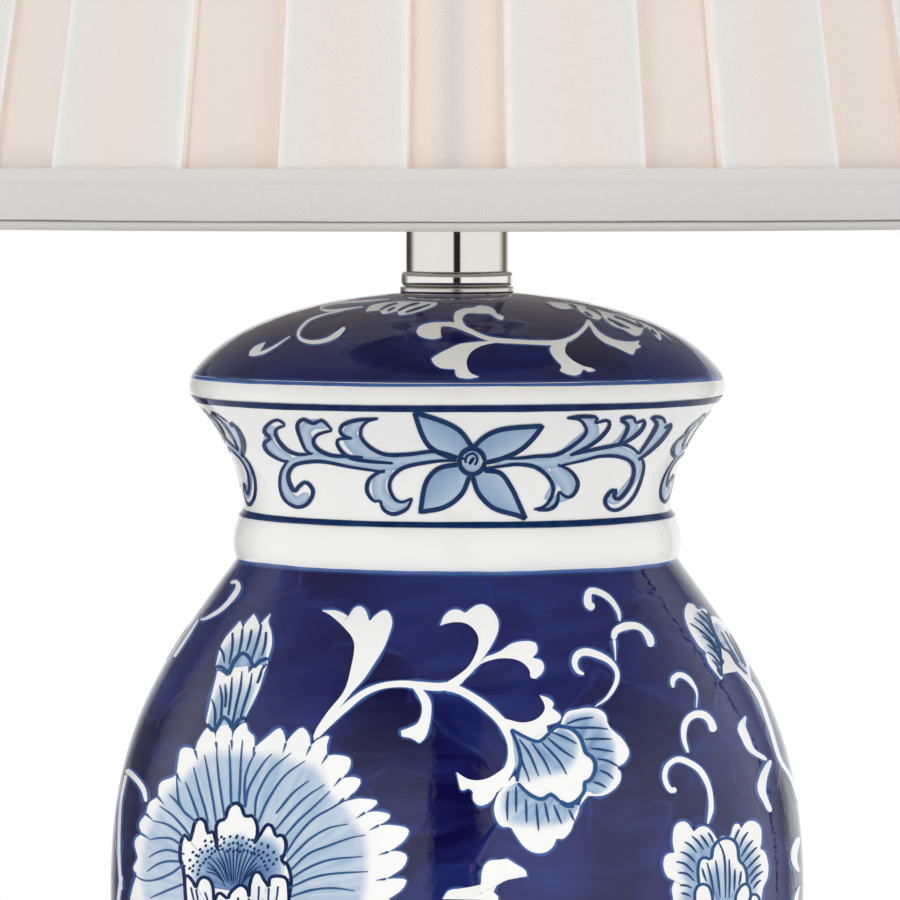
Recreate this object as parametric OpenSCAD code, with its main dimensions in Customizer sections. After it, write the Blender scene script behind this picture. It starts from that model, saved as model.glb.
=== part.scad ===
// Table lamp: a lidded porcelain jar on a round metal foot, with a box-pleated cone shade.
// Millimetres, +Z up. The origin is on the table under the centre of the lamp, and -Y is its front.

/* [Foot] */
// Thickness of the felt pad
felt_t = 1.5; // [1:0.1:3]
// Distance from the edge of the foot to the edge of the felt pad
felt_inset = 3; // [1:0.5:6]
// Radius of the metal foot at the table
base_r = 94; // [90:1:110]
// Height of the metal foot
base_h = 22; // [21:0.5:34]
// Height of the upright wall at the edge of the metal foot
base_wall_h = 14; // [13:0.5:15]
// Width of the flat step above the upright wall
base_step_w = 3; // [1:0.5:6]
// Width of the sloping cove between the step and the top face
base_cove_w = 4; // [2:0.5:8]
// Radius of the rounded edges of the metal foot
base_edge_r = 0.8; // [0.3:0.1:1.5]
// Thickness of the metal of the foot
base_wall = 2.5; // [1.5:0.1:3.5]
// Thickness of the soft ring between the foot and the jar
gasket_t = 0.5; // [0.3:0.1:2]

/* [Cord inlet] */
// Height of the middle of the inlet above the felt
inlet_z = 7.2; // [6.6:0.1:8]
// Radius of the hole that the cord passes through
inlet_bore_r = 3.6; // [2.5:0.1:4]
// Thickness of the sleeve of the inlet
inlet_sleeve_t = 1.2; // [0.8:0.1:1.5]
// Width of the flange of the inlet beyond its sleeve
inlet_flange_w = 1.4; // [0.8:0.1:1.5]
// Thickness of the flange of the inlet
inlet_flange_t = 1.4; // [0.8:0.1:3]

/* [Jar] */
// Thickness of the porcelain
jar_wall = 5; // [3:0.5:7]
// Thickness of the floor of the jar
jar_floor_t = 6; // [4:0.5:8]
// Radius of the foot ring of the jar
jar_foot_r = 80; // [70:1:84]
// Height of the foot ring of the jar
jar_foot_h = 11; // [9:0.5:16]
// How far the foot ring bulges beyond its edges
jar_foot_bulge = 2.2; // [0:0.1:4]
// Radius of the belly of the jar
jar_belly_r = 125; // [115:1:140]
// Height of the belly above the foot ring
jar_belly_h = 113; // [90:1:140]
// Height of the shoulder, from the belly to the pinched neck
jar_shoulder_h = 120.5; // [100:0.5:150]
// Radius of the pinched neck under the white collar
jar_pinch_r = 79.2; // [70:0.2:85]
// Height of the white collar
jar_collar_h = 17.4; // [12:0.2:24]
// How far the white collar bulges
jar_collar_bulge = 3.2; // [0:0.2:6]
// Radius of the neck at its narrowest place
jar_waist_r = 76.7; // [68:0.1:80]
// Height of the flared neck
jar_flare_h = 38; // [30:0.2:50]
// Radius of the lip at the top of the flared neck
jar_lip_r = 93; // [88:0.5:105]
// Height of the rolled rim
jar_rim_h = 11; // [8:0.5:15]
// How far the rolled rim bulges beyond the lip
jar_rim_bulge = 4.4; // [1:0.2:6]
// Radius of the edge of the domed lid
jar_lid_r = 95.2; // [92:0.2:105]
// Height of the domed lid
jar_lid_h = 29.1; // [24:0.5:36]
// Radius of the flat on top of the lid
jar_flat_r = 21; // [21:0.5:26]

/* [Neck] */
// Radius of the thin seat disc on the lid
seat_r = 20.5; // [19:0.25:21]
// Thickness of the seat disc
seat_t = 2; // [1:0.25:3]
// Radius of the polished bead
bead_r = 20.15; // [19.5:0.05:22]
// Height of the polished bead
bead_h = 5.5; // [3:0.25:7]
// Radius of the neck tube
tube_r = 18.35; // [15:0.05:19]
// Wall of the neck tube
tube_wall = 1.2; // [0.8:0.1:2]
// Height of the neck tube
tube_h = 32.1; // [24:0.1:60]
// Thickness of the cap on the neck tube
cap_t = 2.4; // [1.5:0.1:4]
// How far the cap stands out beyond the neck tube
cap_lip = 1; // [0.5:0.1:2]
// Depth of the cap's spigot in the neck tube
cap_spigot_h = 3; // [2:0.5:6]

/* [Rod and nuts] */
// Radius of the threaded rod
rod_r = 5; // [4.5:0.1:5.4]
// Radius of the wire way through the rod
rod_bore_r = 3; // [2:0.1:3.5]
// Length of rod that shows below the lower nut
rod_tail = 5; // [2:0.5:6]
// Length of rod inside the socket cap
rod_tip = 8; // [6:0.5:9]
// Radius of the large washer under the foot
washer_r = 22; // [14:1:40]
// Thickness of the large washer
washer_t = 2; // [1:0.25:2.5]
// Radius of the lock washer
lock_r = 9; // [7.5:0.25:12]
// Thickness of the lock washer
lock_t = 1.2; // [0.8:0.1:1.5]
// Distance across the flats of the hexagon nuts
nut_flats = 14.3; // [13.5:0.1:17]
// Thickness of the lower nut
nut_t = 5; // [3:0.5:6]
// Thickness of the nut on the harp saddle
saddle_nut_t = 4; // [3:0.5:6]

/* [Harp] */
// Height of the harp from the saddle to the shade's seat
harp_h = 241.3; // [215:0.1:270]
// Radius of the harp wire
harp_wire_r = 2; // [1.5:0.1:2.4]
// Distance from the middle of the lamp to each leg of the harp
harp_leg_x = 28; // [26:0.5:34]
// Radius of the bend where a leg turns outwards
harp_bend_r = 40; // [25:1:60]
// Angle at which the legs lean outwards
harp_lean = 15; // [10:1:20]
// Radius of the harp's top hub
hub_r = 6.5; // [5.5:0.1:8]
// Height of the harp's top hub
hub_h = 7; // [6:0.5:9]
// Thickness of the saddle strip
saddle_t = 1.7; // [1.2:0.1:3]
// Width of the saddle strip
saddle_w = 12; // [10:0.5:16]
// Radius of the round middle of the saddle
saddle_r = 13; // [10:0.5:16]
// Wall of the cups that hold the legs
cup_wall = 1.65; // [1:0.05:2]
// Height of the cups
cup_h = 10; // [8:0.5:12]
// Thickness of the metal in the bottom of each cup
cup_floor = 2; // [1:0.5:3]
// Wall of the locking sleeves
sleeve_wall = 1; // [0.8:0.1:1.5]
// Height of the lip that guides a sleeve on its leg
sleeve_lip_h = 3; // [2:0.5:4]
// How far a sleeve slides up
sleeve_travel = 12; // [10.5:0.5:20]
// Length of upright leg above a raised sleeve
leg_spare = 9; // [4:1:16]

/* [Shade screw] */
// Radius of the screw that holds the shade
stud_r = 3.17; // [3:0.01:3.4]
// Height of the screw above the shade's seat
stud_h = 16; // [12:0.5:20]
// Radius of the swivel pin in the harp's hub
pin_r = 2.5; // [2:0.1:3]
// Radius of the seat under the shade
shelf_r = 8; // [7:0.5:10]
// Thickness of the seat under the shade
shelf_t = 2; // [1:0.25:3]
// Radius of the riveted head of the swivel pin
rivet_r = 4.5; // [3.8:0.1:5]
// Thickness of the riveted head
rivet_t = 1.5; // [1:0.25:3]

/* [Socket] */
// Radius of the hub of the socket cap
socket_hub_r = 8; // [7:0.25:10]
// Height of the hub of the socket cap
socket_hub_h = 7; // [5:0.5:7]
// Radius of the socket cap
socket_cap_r = 18.2; // [17.8:0.1:20]
// Height of the socket cap
socket_cap_h = 25; // [23:0.5:28]
// Wall of the socket cap and of the socket shell
socket_wall = 0.9; // [0.6:0.1:1.2]
// Height of the socket from its foot to its rim
socket_h = 62; // [58:0.5:66]
// How far the shell reaches down into the cap
shell_lap = 7; // [4:0.5:8]
// Wall of the insulating sleeve
paper_t = 0.7; // [0.4:0.1:1]
// Height of the socket body's foot above the foot of the socket
body_z = 18; // [17.5:0.5:20]
// Height of the socket body
body_h = 22; // [20:0.5:24]
// Distance between the flats of the socket body
body_flats = 24; // [18:0.5:26]
// Inner radius of the screw shell that takes the bulb
screw_r = 13.3; // [13.2:0.05:13.5]
// Wall of the screw shell
screw_t = 0.6; // [0.4:0.1:0.8]
// Radius of the head of a terminal screw
term_head_r = 2.8; // [2:0.1:3.5]
// Radius of the shank of a terminal screw
term_r = 1.4; // [1:0.1:1.8]
// Thickness of the head of a terminal screw
term_head_t = 1.4; // [0.8:0.1:1.5]
// Length of the shank of a terminal screw
term_len = 4; // [2:0.5:5]
// Radius of the spring contact in the socket
contact_r = 3.6; // [2.5:0.1:5]
// Height of the spring contact in the socket
contact_h = 3; // [2:0.25:5]

/* [Switch] */
// Radius of the switch shaft
shaft_r = 2; // [1.5:0.1:2.5]
// Length of the shaft inside the socket body
shaft_depth = 10; // [6:0.5:11]
// Gap between the socket shell and the knob
knob_gap = 2; // [1:0.5:4]
// Radius of the round foot of the knob
knob_neck_r = 4.5; // [3.5:0.1:6]
// Length of the round foot of the knob
knob_neck_len = 5; // [3:0.5:8]
// Length of the flat grip of the knob
knob_grip_len = 16; // [12:0.5:20]
// Width of the flat grip of the knob
knob_grip_w = 13; // [9:0.5:16]
// Thickness of the flat grip of the knob
knob_grip_t = 6; // [4:0.5:8]

/* [Bulb] */
// Radius of the bulb's screw cap
bulb_cap_r = 12.9; // [12.8:0.05:13]
// Height of the bulb's screw cap
bulb_cap_h = 22.5; // [20:0.5:24]
// Radius of the bulb's contact
bulb_tip_r = 4.5; // [3:0.25:6]
// Height of the bulb's contact
bulb_tip_h = 1; // [0.5:0.25:2]
// Height of the black ring between the contact and the cap
bulb_ring_h = 1.5; // [1:0.25:3]
// Radius of the bulb's glass
bulb_r = 30; // [22:0.5:33]
// Height of the bulb from its contact to its top
bulb_h = 108; // [96:1:118]
// Thickness of the bulb's glass
bulb_wall = 1; // [0.6:0.1:1.5]

/* [Shade] */
// Radius of the shade at its lower edge
shade_bottom_r = 216; // [200:1:230]
// Radius of the shade at its upper edge
shade_top_r = 167; // [150:1:190]
// Height of the shade
shade_h = 273; // [262:1:300]
// Height of the shade's upper edge above its seat
shade_rise = 12; // [9:0.5:20]
// Number of box pleats
pleats = 17; // [12:1:20]
// Part of each pleat's width that is the raised panel
panel_part = 0.58; // [0.45:0.01:0.7]
// Depth of a pleat
pleat_depth = 3; // [1.5:0.1:4]
// Angle taken up by the folded side of a pleat
pleat_side = 0.4; // [0.2:0.1:0.8]
// Thickness of the pleated cloth
cloth_t = 0.7; // [0.5:0.1:1]
// Thickness of the stiff lining
lining_t = 0.8; // [0.5:0.1:1.2]
// Height of the flat hem bands
hem_h = 20.5; // [14:0.5:32]
// Thickness of the flat hem bands
hem_t = 0.9; // [0.6:0.1:1.4]
// Radius of the piping cord on the edges
piping_r = 1.6; // [1:0.1:2]
// Radius of the wire rings of the shade's frame
ring_wire_r = 1.3; // [1:0.1:2]
// Distance from an edge of the shade to its wire ring
ring_inset = 3; // [2.5:0.5:6]
// Number of arms of the shade's fitter
arms = 3; // [3:1:4]
// Radius of the arms of the fitter
arm_r = 1.6; // [1.2:0.1:2]
// Radius of the washer in the middle of the fitter
fitter_r = 11; // [9:0.5:14]
// Thickness of the washer in the middle of the fitter
fitter_t = 2; // [2:0.1:3]

/* [Finial] */
// Radius of the foot of the finial
finial_foot_r = 8.5; // [7:0.25:10]
// Height of the foot of the finial
finial_foot_h = 3; // [2:0.25:5]
// Radius of the neck of the finial
finial_neck_r = 5; // [4.4:0.1:6]
// Height of the neck between the foot and the ball
finial_neck_h = 7; // [4:0.5:10]
// Radius of the ball of the finial
finial_ball_r = 12; // [9.5:0.25:15]
// Radius of the small button on top of the ball
finial_tip_r = 3.5; // [2:0.25:5]
// Height of the small button on top of the ball
finial_tip_h = 2.4; // [1.5:0.1:4]

/* [Fits] */
// Radial clearance of parts that turn or slide on each other
running_gap = 0.05; // [0.02:0.01:0.1]
// Clearance between a fixed part and the hole it sits in
hole_gap = 0.2; // [0.1:0.05:0.3]
// Clearance between neighbouring layers of the shade
layer_gap = 0.2; // [0.1:0.05:0.3]
// Clearance between a part that turns and the flat face under it
face_gap = 0.1; // [0.05:0.05:0.2]
// Clearance between the bulb and the parts of the socket
bulb_gap = 0.3; // [0.2:0.05:0.3]

/* [Hidden] */
$fn = 96;
CUT = 1;
SMALL_FN = 48;
CURVE_STEPS = 12;
SHORT_STEPS = 6;
BOW_STEPS = 14;
BENT_SIDES = 12;
BENT_PART = 0.97;

// Heights, from the table to the finial
base_z = felt_t;
base_top_z = base_z + base_h;
jar_z = base_top_z + gasket_t;
foot_top_z = jar_z + jar_foot_h;
belly_z = foot_top_z + jar_belly_h;
pinch_z = belly_z + jar_shoulder_h;
collar_top_z = pinch_z + jar_collar_h;
lip_z = collar_top_z + jar_flare_h;
rim_z = lip_z + jar_rim_h;
jar_top_z = rim_z + jar_lid_h;
bead_z = jar_top_z + seat_t;
tube_z = bead_z + bead_h;
cap_z = tube_z + tube_h;
saddle_z = cap_z + cap_t;
saddle_top_z = saddle_z + saddle_t;
socket_z = saddle_top_z + saddle_nut_t;
seat_z = saddle_top_z + harp_h;
shade_top_z = seat_z + shade_rise;
shade_bottom_z = shade_top_z - shade_h;

// The stack of fixings inside the metal foot, from the top down
washer_z = base_top_z - base_wall - washer_t;
lock_z = washer_z - lock_t;
nut_z = lock_z - nut_t;
rod_z = nut_z - rod_tail;
rod_hole_r = rod_r + hole_gap;

// Radii inside the socket, from the shell inwards
shell_z = socket_z + socket_cap_h - shell_lap;
shell_r = socket_cap_r - socket_wall - hole_gap;
socket_top_z = socket_z + socket_h;
paper_r = shell_r - socket_wall - hole_gap;
body_r = paper_r - paper_t - hole_gap;
body_bottom_z = socket_z + body_z;
body_top_z = body_bottom_z + body_h;
shaft_z = body_bottom_z + body_h / 2;
knob_y = shell_r + knob_gap;
bulb_z = body_top_z + contact_h + bulb_gap;
bulb_cap_z = bulb_z + bulb_tip_h + bulb_ring_h;

// The shade's layers, each given by its distance inside the outer face of the hem
shade_slope = (shade_bottom_r - shade_top_r) / shade_h;
cloth_in = hem_t + layer_gap;
lining_in = cloth_in + pleat_depth + cloth_t + layer_gap;
ring_in = lining_in + lining_t + layer_gap + ring_wire_r;
hem_z = 2 * piping_r + layer_gap;

// A smooth curve with two handles, as points from p[0] to p[3]
function curve(p, n) = [
    for (i = [0:n])
        let (t = i / n, s = 1 - t)
            s * s * s * p[0] + 3 * s * s * t * p[1] + 3 * s * t * t * p[2] + t * t * t * p[3]
];

// An arc round c, as points from angle a to angle b
function arc(c, r, a, b, n) = [
    for (i = [0:n])
        let (t = a + (b - a) * i / n)
            c + r * [cos(t), sin(t)]
];

// The outline moved inwards by an even wall; it runs upwards with the inside on its left
function inset(pts, wall) = [
    for (i = [0:len(pts) - 1])
        let (
            back = pts[max(i - 1, 0)],
            ahead = pts[min(i + 1, len(pts) - 1)],
            along = (ahead - back) / norm(ahead - back)
        )
            [max(pts[i][0] - wall * along[1], 0), pts[i][1] + wall * along[0]]
];

// Radius of the outer face of the hem at a height
function shade_r(z) = shade_bottom_r - (z - shade_bottom_z) * shade_slope;

// The jar's curves, from the foot up
foot_curve = curve([
    [jar_foot_r, jar_z],
    [jar_foot_r + jar_foot_bulge, jar_z + jar_foot_h * 0.1],
    [jar_foot_r + jar_foot_bulge, jar_z + jar_foot_h * 0.9],
    [jar_foot_r - 1, foot_top_z]
], SHORT_STEPS);
belly_curve = curve([
    [jar_foot_r - 1, foot_top_z],
    [jar_foot_r + (jar_belly_r - jar_foot_r) * 0.62, foot_top_z + jar_belly_h * 0.34],
    [jar_belly_r, belly_z - jar_belly_h * 0.48],
    [jar_belly_r, belly_z]
], CURVE_STEPS);
shoulder_curve = curve([
    [jar_belly_r, belly_z],
    [jar_belly_r, belly_z + jar_shoulder_h * 0.49],
    [jar_pinch_r + (jar_belly_r - jar_pinch_r) * 0.62, pinch_z - jar_shoulder_h * 0.32],
    [jar_pinch_r, pinch_z]
], CURVE_STEPS);
collar_curve = curve([
    [jar_pinch_r, pinch_z],
    [jar_pinch_r + jar_collar_bulge, pinch_z + jar_collar_h * 0.24],
    [jar_waist_r + jar_collar_bulge, collar_top_z - jar_collar_h * 0.1],
    [jar_waist_r, collar_top_z]
], SHORT_STEPS);
flare_curve = curve([
    [jar_waist_r, collar_top_z],
    [jar_waist_r + (jar_lip_r - jar_waist_r) * 0.1, collar_top_z + jar_flare_h * 0.46],
    [jar_lip_r - (jar_lip_r - jar_waist_r) * 0.62, lip_z - jar_flare_h * 0.34],
    [jar_lip_r, lip_z]
], CURVE_STEPS);
rim_curve = curve([
    [jar_lip_r, lip_z],
    [jar_lip_r + jar_rim_bulge * 0.8, lip_z + jar_rim_h * 0.42],
    [jar_lip_r + jar_rim_bulge, lip_z + jar_rim_h * 0.5],
    [jar_lid_r, rim_z]
], SHORT_STEPS);
lid_curve = curve([
    [jar_lid_r, rim_z],
    [jar_lid_r - jar_lid_h * 0.32, rim_z + jar_lid_h * 0.46],
    [jar_lid_r * 0.68, jar_top_z - jar_lid_h * 0.13],
    [jar_flat_r, jar_top_z]
], CURVE_STEPS);

// A ring of layered cone between two heights, inside the hem's outer face
module cone_skin(z0, z1, inside, thick) {
    rotate_extrude()
        polygon([
            [shade_r(z0) - inside - thick, z0],
            [shade_r(z0) - inside, z0],
            [shade_r(z1) - inside, z1],
            [shade_r(z1) - inside - thick, z1]
        ]);
}

// A wire bent into a full circle
module wire_ring(r, z, wire_r) {
    translate([0, 0, z])
        rotate_extrude()
            translate([r, 0])
                circle(wire_r, $fn = SMALL_FN);
}

// A straight wire between two points
module wire(a, b, wire_r) {
    d = b - a;
    translate(a)
        rotate([0, acos(d[2] / norm(d)), atan2(d[1], d[0])])
            cylinder(h = norm(d), r = wire_r, $fn = SMALL_FN);
}

// A flat ring round the lamp's axis
module washer(z, t, r, hole_r) {
    translate([0, 0, z])
        difference() {
            cylinder(h = t, r = r);
            translate([0, 0, -CUT])
                cylinder(h = t + 2 * CUT, r = hole_r);
        }
}

// A hexagon nut round the rod
module hex_nut(z, t) {
    translate([0, 0, z])
        difference() {
            cylinder(h = t, r = nut_flats / 2 / cos(30), $fn = 6);
            translate([0, 0, -CUT])
                cylinder(h = t + 2 * CUT, r = rod_hole_r, $fn = SMALL_FN);
        }
}

module felt_pad() {
    color("dimgray")
        cylinder(h = felt_t, r = base_r - felt_inset);
}

module base_shell() {
    step_z = base_z + base_wall_h;
    cove_r = base_r - base_step_w;
    top_r = cove_r - base_cove_w;
    outline = concat(
        [[0, base_z]],
        arc([base_r - base_edge_r, base_z + base_edge_r], base_edge_r, -90, 0, SHORT_STEPS),
        arc([base_r - base_edge_r, step_z - base_edge_r], base_edge_r, 0, 90, SHORT_STEPS),
        curve([
            [cove_r, step_z],
            [cove_r - base_cove_w * 0.2, step_z + (base_top_z - step_z) * 0.6],
            [top_r + base_cove_w * 0.6, base_top_z - (base_top_z - step_z) * 0.5],
            [top_r + base_edge_r, base_top_z - base_edge_r]
        ], SHORT_STEPS),
        [[top_r, base_top_z], [0, base_top_z]]
    );
    color("silver")
        difference() {
            rotate_extrude()
                polygon(outline);
            translate([0, 0, base_z - CUT])
                cylinder(h = base_wall_h - base_wall + CUT, r = base_r - base_wall);
            translate([0, 0, base_z - CUT])
                cylinder(h = base_h - base_wall + CUT, r = top_r - base_wall);
            translate([0, 0, base_z])
                cylinder(h = base_h + CUT, r = rod_hole_r);
            translate([0, 0, base_z + inlet_z])
                rotate([-90, 0, 0])
                    cylinder(h = base_r + CUT, r = inlet_bore_r + inlet_sleeve_t + hole_gap, $fn = SMALL_FN);
        }
}

module cord_bushing() {
    sleeve_r = inlet_bore_r + inlet_sleeve_t;
    inner_y = base_r - base_wall - inlet_flange_t;
    color("black")
        translate([0, 0, base_z + inlet_z])
            rotate([-90, 0, 0])
                difference() {
                    union() {
                        translate([0, 0, inner_y])
                            cylinder(h = base_r - inner_y + hole_gap, r = sleeve_r, $fn = SMALL_FN);
                        translate([0, 0, base_r + hole_gap])
                            cylinder(h = inlet_flange_t, r = sleeve_r + inlet_flange_w, $fn = SMALL_FN);
                    }
                    translate([0, 0, inner_y - CUT])
                        cylinder(h = base_r, r = inlet_bore_r, $fn = SMALL_FN);
                }
}

module base_washer() {
    color("gainsboro")
        washer(washer_z, washer_t, washer_r, rod_hole_r);
}

module base_lock_washer() {
    color("gainsboro")
        washer(lock_z, lock_t, lock_r, rod_hole_r);
}

module base_nut() {
    color("gainsboro")
        hex_nut(nut_z, nut_t);
}

module threaded_rod() {
    color("gainsboro")
        washer(rod_z, socket_z + rod_tip - rod_z, rod_r, rod_bore_r);
}

module foot_gasket() {
    color("tan")
        washer(base_top_z, gasket_t, jar_foot_r - base_edge_r, jar_foot_r - 2 * jar_wall);
}

module jar() {
    outer = concat(foot_curve, belly_curve, shoulder_curve, collar_curve, flare_curve, rim_curve, lid_curve);
    inner = inset(concat(belly_curve, shoulder_curve, flare_curve, lid_curve), jar_wall);
    cavity_r = inner[0][0];
    color("midnightblue")
        difference() {
            rotate_extrude()
                polygon(concat([[0, jar_z]], outer, [[0, jar_top_z]]));
            rotate_extrude()
                polygon(concat(
                    [[0, jar_z + jar_floor_t], [cavity_r, jar_z + jar_floor_t]],
                    inner,
                    [[0, jar_top_z - jar_wall]]
                ));
            translate([0, 0, jar_z - CUT])
                cylinder(h = jar_top_z - jar_z + 2 * CUT, r = rod_hole_r);
        }
}

module seat_disc() {
    color("silver")
        washer(jar_top_z, seat_t, seat_r, rod_hole_r);
}

module neck_bead() {
    edge = bead_h / 2;
    color("gainsboro")
        rotate_extrude()
            polygon(concat(
                [[rod_hole_r, bead_z]],
                arc([bead_r - edge, bead_z + edge], edge, -90, 90, CURVE_STEPS),
                [[rod_hole_r, tube_z]]
            ));
}

module neck_tube() {
    color("silver")
        washer(tube_z, tube_h, tube_r, tube_r - tube_wall);
}

module neck_cap() {
    color("silver")
        difference() {
            union() {
                translate([0, 0, cap_z])
                    cylinder(h = cap_t, r = tube_r + cap_lip);
                translate([0, 0, cap_z - cap_spigot_h])
                    cylinder(h = cap_spigot_h + cap_t, r = tube_r - tube_wall - hole_gap);
            }
            translate([0, 0, cap_z - cap_spigot_h - CUT])
                cylinder(h = cap_spigot_h + cap_t + 2 * CUT, r = rod_hole_r);
        }
}

module harp_saddle() {
    cup_r = harp_wire_r + running_gap + cup_wall;
    color("gold")
        difference() {
            union() {
                translate([-harp_leg_x, -saddle_w / 2, saddle_z])
                    cube([2 * harp_leg_x, saddle_w, saddle_t]);
                translate([0, 0, saddle_z])
                    cylinder(h = saddle_t, r = saddle_r);
                for (side = [-1, 1]) {
                    translate([side * harp_leg_x, 0, saddle_z])
                        cylinder(h = saddle_t, r = saddle_w / 2);
                    translate([side * harp_leg_x, 0, saddle_z])
                        cylinder(h = saddle_t + cup_h, r = cup_r, $fn = SMALL_FN);
                }
            }
            translate([0, 0, saddle_z - CUT])
                cylinder(h = saddle_t + 2 * CUT, r = rod_hole_r);
            for (side = [-1, 1])
                translate([side * harp_leg_x, 0, saddle_top_z + cup_floor])
                    cylinder(h = cup_h, r = harp_wire_r + running_gap, $fn = SMALL_FN);
        }
}

module saddle_nut() {
    color("gold")
        hex_nut(saddle_top_z, saddle_nut_t);
}

module socket_cap() {
    flare = socket_cap_r - socket_hub_r;
    drum_z = socket_hub_h + flare * 0.8;
    inner_r = socket_cap_r - socket_wall;
    color("gold")
        translate([0, 0, socket_z])
            rotate_extrude()
                polygon(concat(
                    [[rod_hole_r, 0], [socket_hub_r, 0]],
                    curve([
                        [socket_hub_r, socket_hub_h - socket_wall],
                        [socket_hub_r + flare * 0.5, socket_hub_h - socket_wall],
                        [socket_cap_r, drum_z - flare * 0.4],
                        [socket_cap_r, drum_z]
                    ], SHORT_STEPS),
                    [[socket_cap_r, socket_cap_h], [inner_r, socket_cap_h]],
                    curve([
                        [inner_r, drum_z + socket_wall],
                        [inner_r, drum_z + socket_wall - flare * 0.4],
                        [socket_hub_r + flare * 0.5, socket_hub_h + socket_wall],
                        [socket_hub_r, socket_hub_h + socket_wall]
                    ], SHORT_STEPS),
                    [[rod_hole_r, socket_hub_h + socket_wall]]
                ));
}

module socket_shell() {
    color("gold")
        difference() {
            washer(shell_z, socket_top_z - shell_z, shell_r, shell_r - socket_wall);
            translate([0, 0, shaft_z])
                rotate([90, 0, 0])
                    cylinder(h = shell_r + CUT, r = shaft_r + hole_gap, $fn = SMALL_FN);
        }
}

module socket_insulator() {
    color("peru")
        difference() {
            washer(body_bottom_z, socket_top_z - socket_wall - body_bottom_z, paper_r, paper_r - paper_t);
            translate([0, 0, shaft_z])
                rotate([90, 0, 0])
                    cylinder(h = shell_r, r = shaft_r + hole_gap, $fn = SMALL_FN);
        }
}

module socket_body() {
    color("dimgray")
        difference() {
            intersection() {
                washer(body_bottom_z, body_h, body_r, shaft_r);
                translate([-body_flats / 2, -body_r, body_bottom_z])
                    cube([body_flats, 2 * body_r, body_h]);
            }
            translate([0, shaft_depth - body_r, shaft_z])
                rotate([90, 0, 0])
                    cylinder(h = body_r, r = shaft_r + running_gap, $fn = SMALL_FN);
            for (side = [-1, 1])
                translate([side * body_flats / 2, 0, shaft_z])
                    rotate([0, 90, 0])
                        cylinder(h = 2 * term_len, r = term_r + hole_gap, center = true, $fn = SMALL_FN);
        }
}

module screw_shell() {
    color("gold")
        washer(body_top_z, socket_top_z - socket_wall - body_top_z, screw_r + screw_t, screw_r);
}

module center_contact() {
    color("gold")
        translate([0, 0, body_top_z])
            cylinder(h = contact_h, r = contact_r, $fn = SMALL_FN);
}

module terminal_screws() {
    color("gold")
        for (side = [-1, 1])
            translate([side * body_flats / 2, 0, shaft_z])
                rotate([0, side * 90, 0])
                    union() {
                        cylinder(h = term_head_t, r = term_head_r, $fn = SMALL_FN);
                        translate([0, 0, hole_gap - term_len])
                            cylinder(h = term_len, r = term_r, $fn = SMALL_FN);
                    }
}

module switch_shaft() {
    inner_y = body_r - shaft_depth + hole_gap;
    color("gold")
        translate([0, -inner_y, shaft_z])
            rotate([90, 0, 0])
                cylinder(h = knob_y - inner_y, r = shaft_r, $fn = SMALL_FN);
}

module switch_knob() {
    grip_y = knob_y + knob_neck_len;
    color("black")
        translate([0, 0, shaft_z])
            union() {
                translate([0, -knob_y, 0])
                    rotate([90, 0, 0])
                        cylinder(h = knob_neck_len, r = knob_neck_r, $fn = SMALL_FN);
                translate([-knob_grip_t / 2, -grip_y, 0])
                    rotate([90, 0, 90])
                        linear_extrude(height = knob_grip_t)
                            union() {
                                translate([knob_grip_w / 2 - knob_grip_len, -knob_grip_w / 2])
                                    square([knob_grip_len - knob_grip_w / 2, knob_grip_w]);
                                translate([knob_grip_w / 2 - knob_grip_len, 0])
                                    circle(knob_grip_w / 2, $fn = SMALL_FN);
                            }
            }
}

module bulb_contact() {
    color("silver")
        translate([0, 0, bulb_z])
            cylinder(h = bulb_tip_h, r = bulb_tip_r, $fn = SMALL_FN);
}

module bulb_insulator() {
    color("black")
        translate([0, 0, bulb_z + bulb_tip_h])
            rotate_extrude()
                polygon([
                    [0, 0], [bulb_tip_r, 0], [bulb_cap_r - socket_wall, bulb_ring_h], [0, bulb_ring_h]
                ]);
}

module bulb_cap() {
    color("silver")
        translate([0, 0, bulb_cap_z])
            cylinder(h = bulb_cap_h, r = bulb_cap_r);
}

module bulb_glass() {
    foot_z = bulb_cap_z + bulb_cap_h;
    ball_z = bulb_z + bulb_h - bulb_r;
    rise = ball_z - foot_z;
    outer = concat(
        curve([
            [bulb_cap_r, foot_z],
            [bulb_cap_r + bulb_wall, foot_z + rise * 0.45],
            [bulb_r, ball_z - rise * 0.5],
            [bulb_r, ball_z]
        ], CURVE_STEPS),
        arc([0, ball_z], bulb_r, 90 / CURVE_STEPS, 90, CURVE_STEPS - 1)
    );
    color("white")
        difference() {
            rotate_extrude()
                polygon(concat([[0, foot_z]], outer));
            rotate_extrude()
                polygon(concat(
                    [[0, foot_z + bulb_wall], [bulb_cap_r - bulb_wall, foot_z + bulb_wall]],
                    [for (p = inset(outer, bulb_wall)) if (p[1] > foot_z + 2 * bulb_wall) p],
                    [[0, bulb_z + bulb_h - bulb_wall]]
                ));
        }
}

// The harp's bow over the legs, worked out so that its sides meet the leaning parts smoothly
harp_leg_z = saddle_top_z + cup_h + sleeve_lip_h + sleeve_travel + leg_spare;
harp_top_z = seat_z - shelf_t - face_gap - hub_h / 2;
bend_out = harp_bend_r * (1 - cos(harp_lean));
bend_up = harp_bend_r * sin(harp_lean);
lean_len = (harp_top_z - harp_leg_z - bend_up) * cos(harp_lean) / (1 + sin(harp_lean)) - harp_leg_x - bend_out;
bow_r = (harp_leg_x + bend_out + lean_len * sin(harp_lean)) / cos(harp_lean);

// Half of the harp wire's middle line, from inside a leg's top to just short of the bow's top
harp_half = concat(
    [[harp_leg_x, harp_leg_z - harp_wire_r]],
    arc([harp_leg_x + harp_bend_r, harp_leg_z], harp_bend_r, 180, 180 - harp_lean, 4),
    arc([0, harp_top_z - bow_r], bow_r, -harp_lean, 90 - harp_lean, BOW_STEPS)
);

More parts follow.
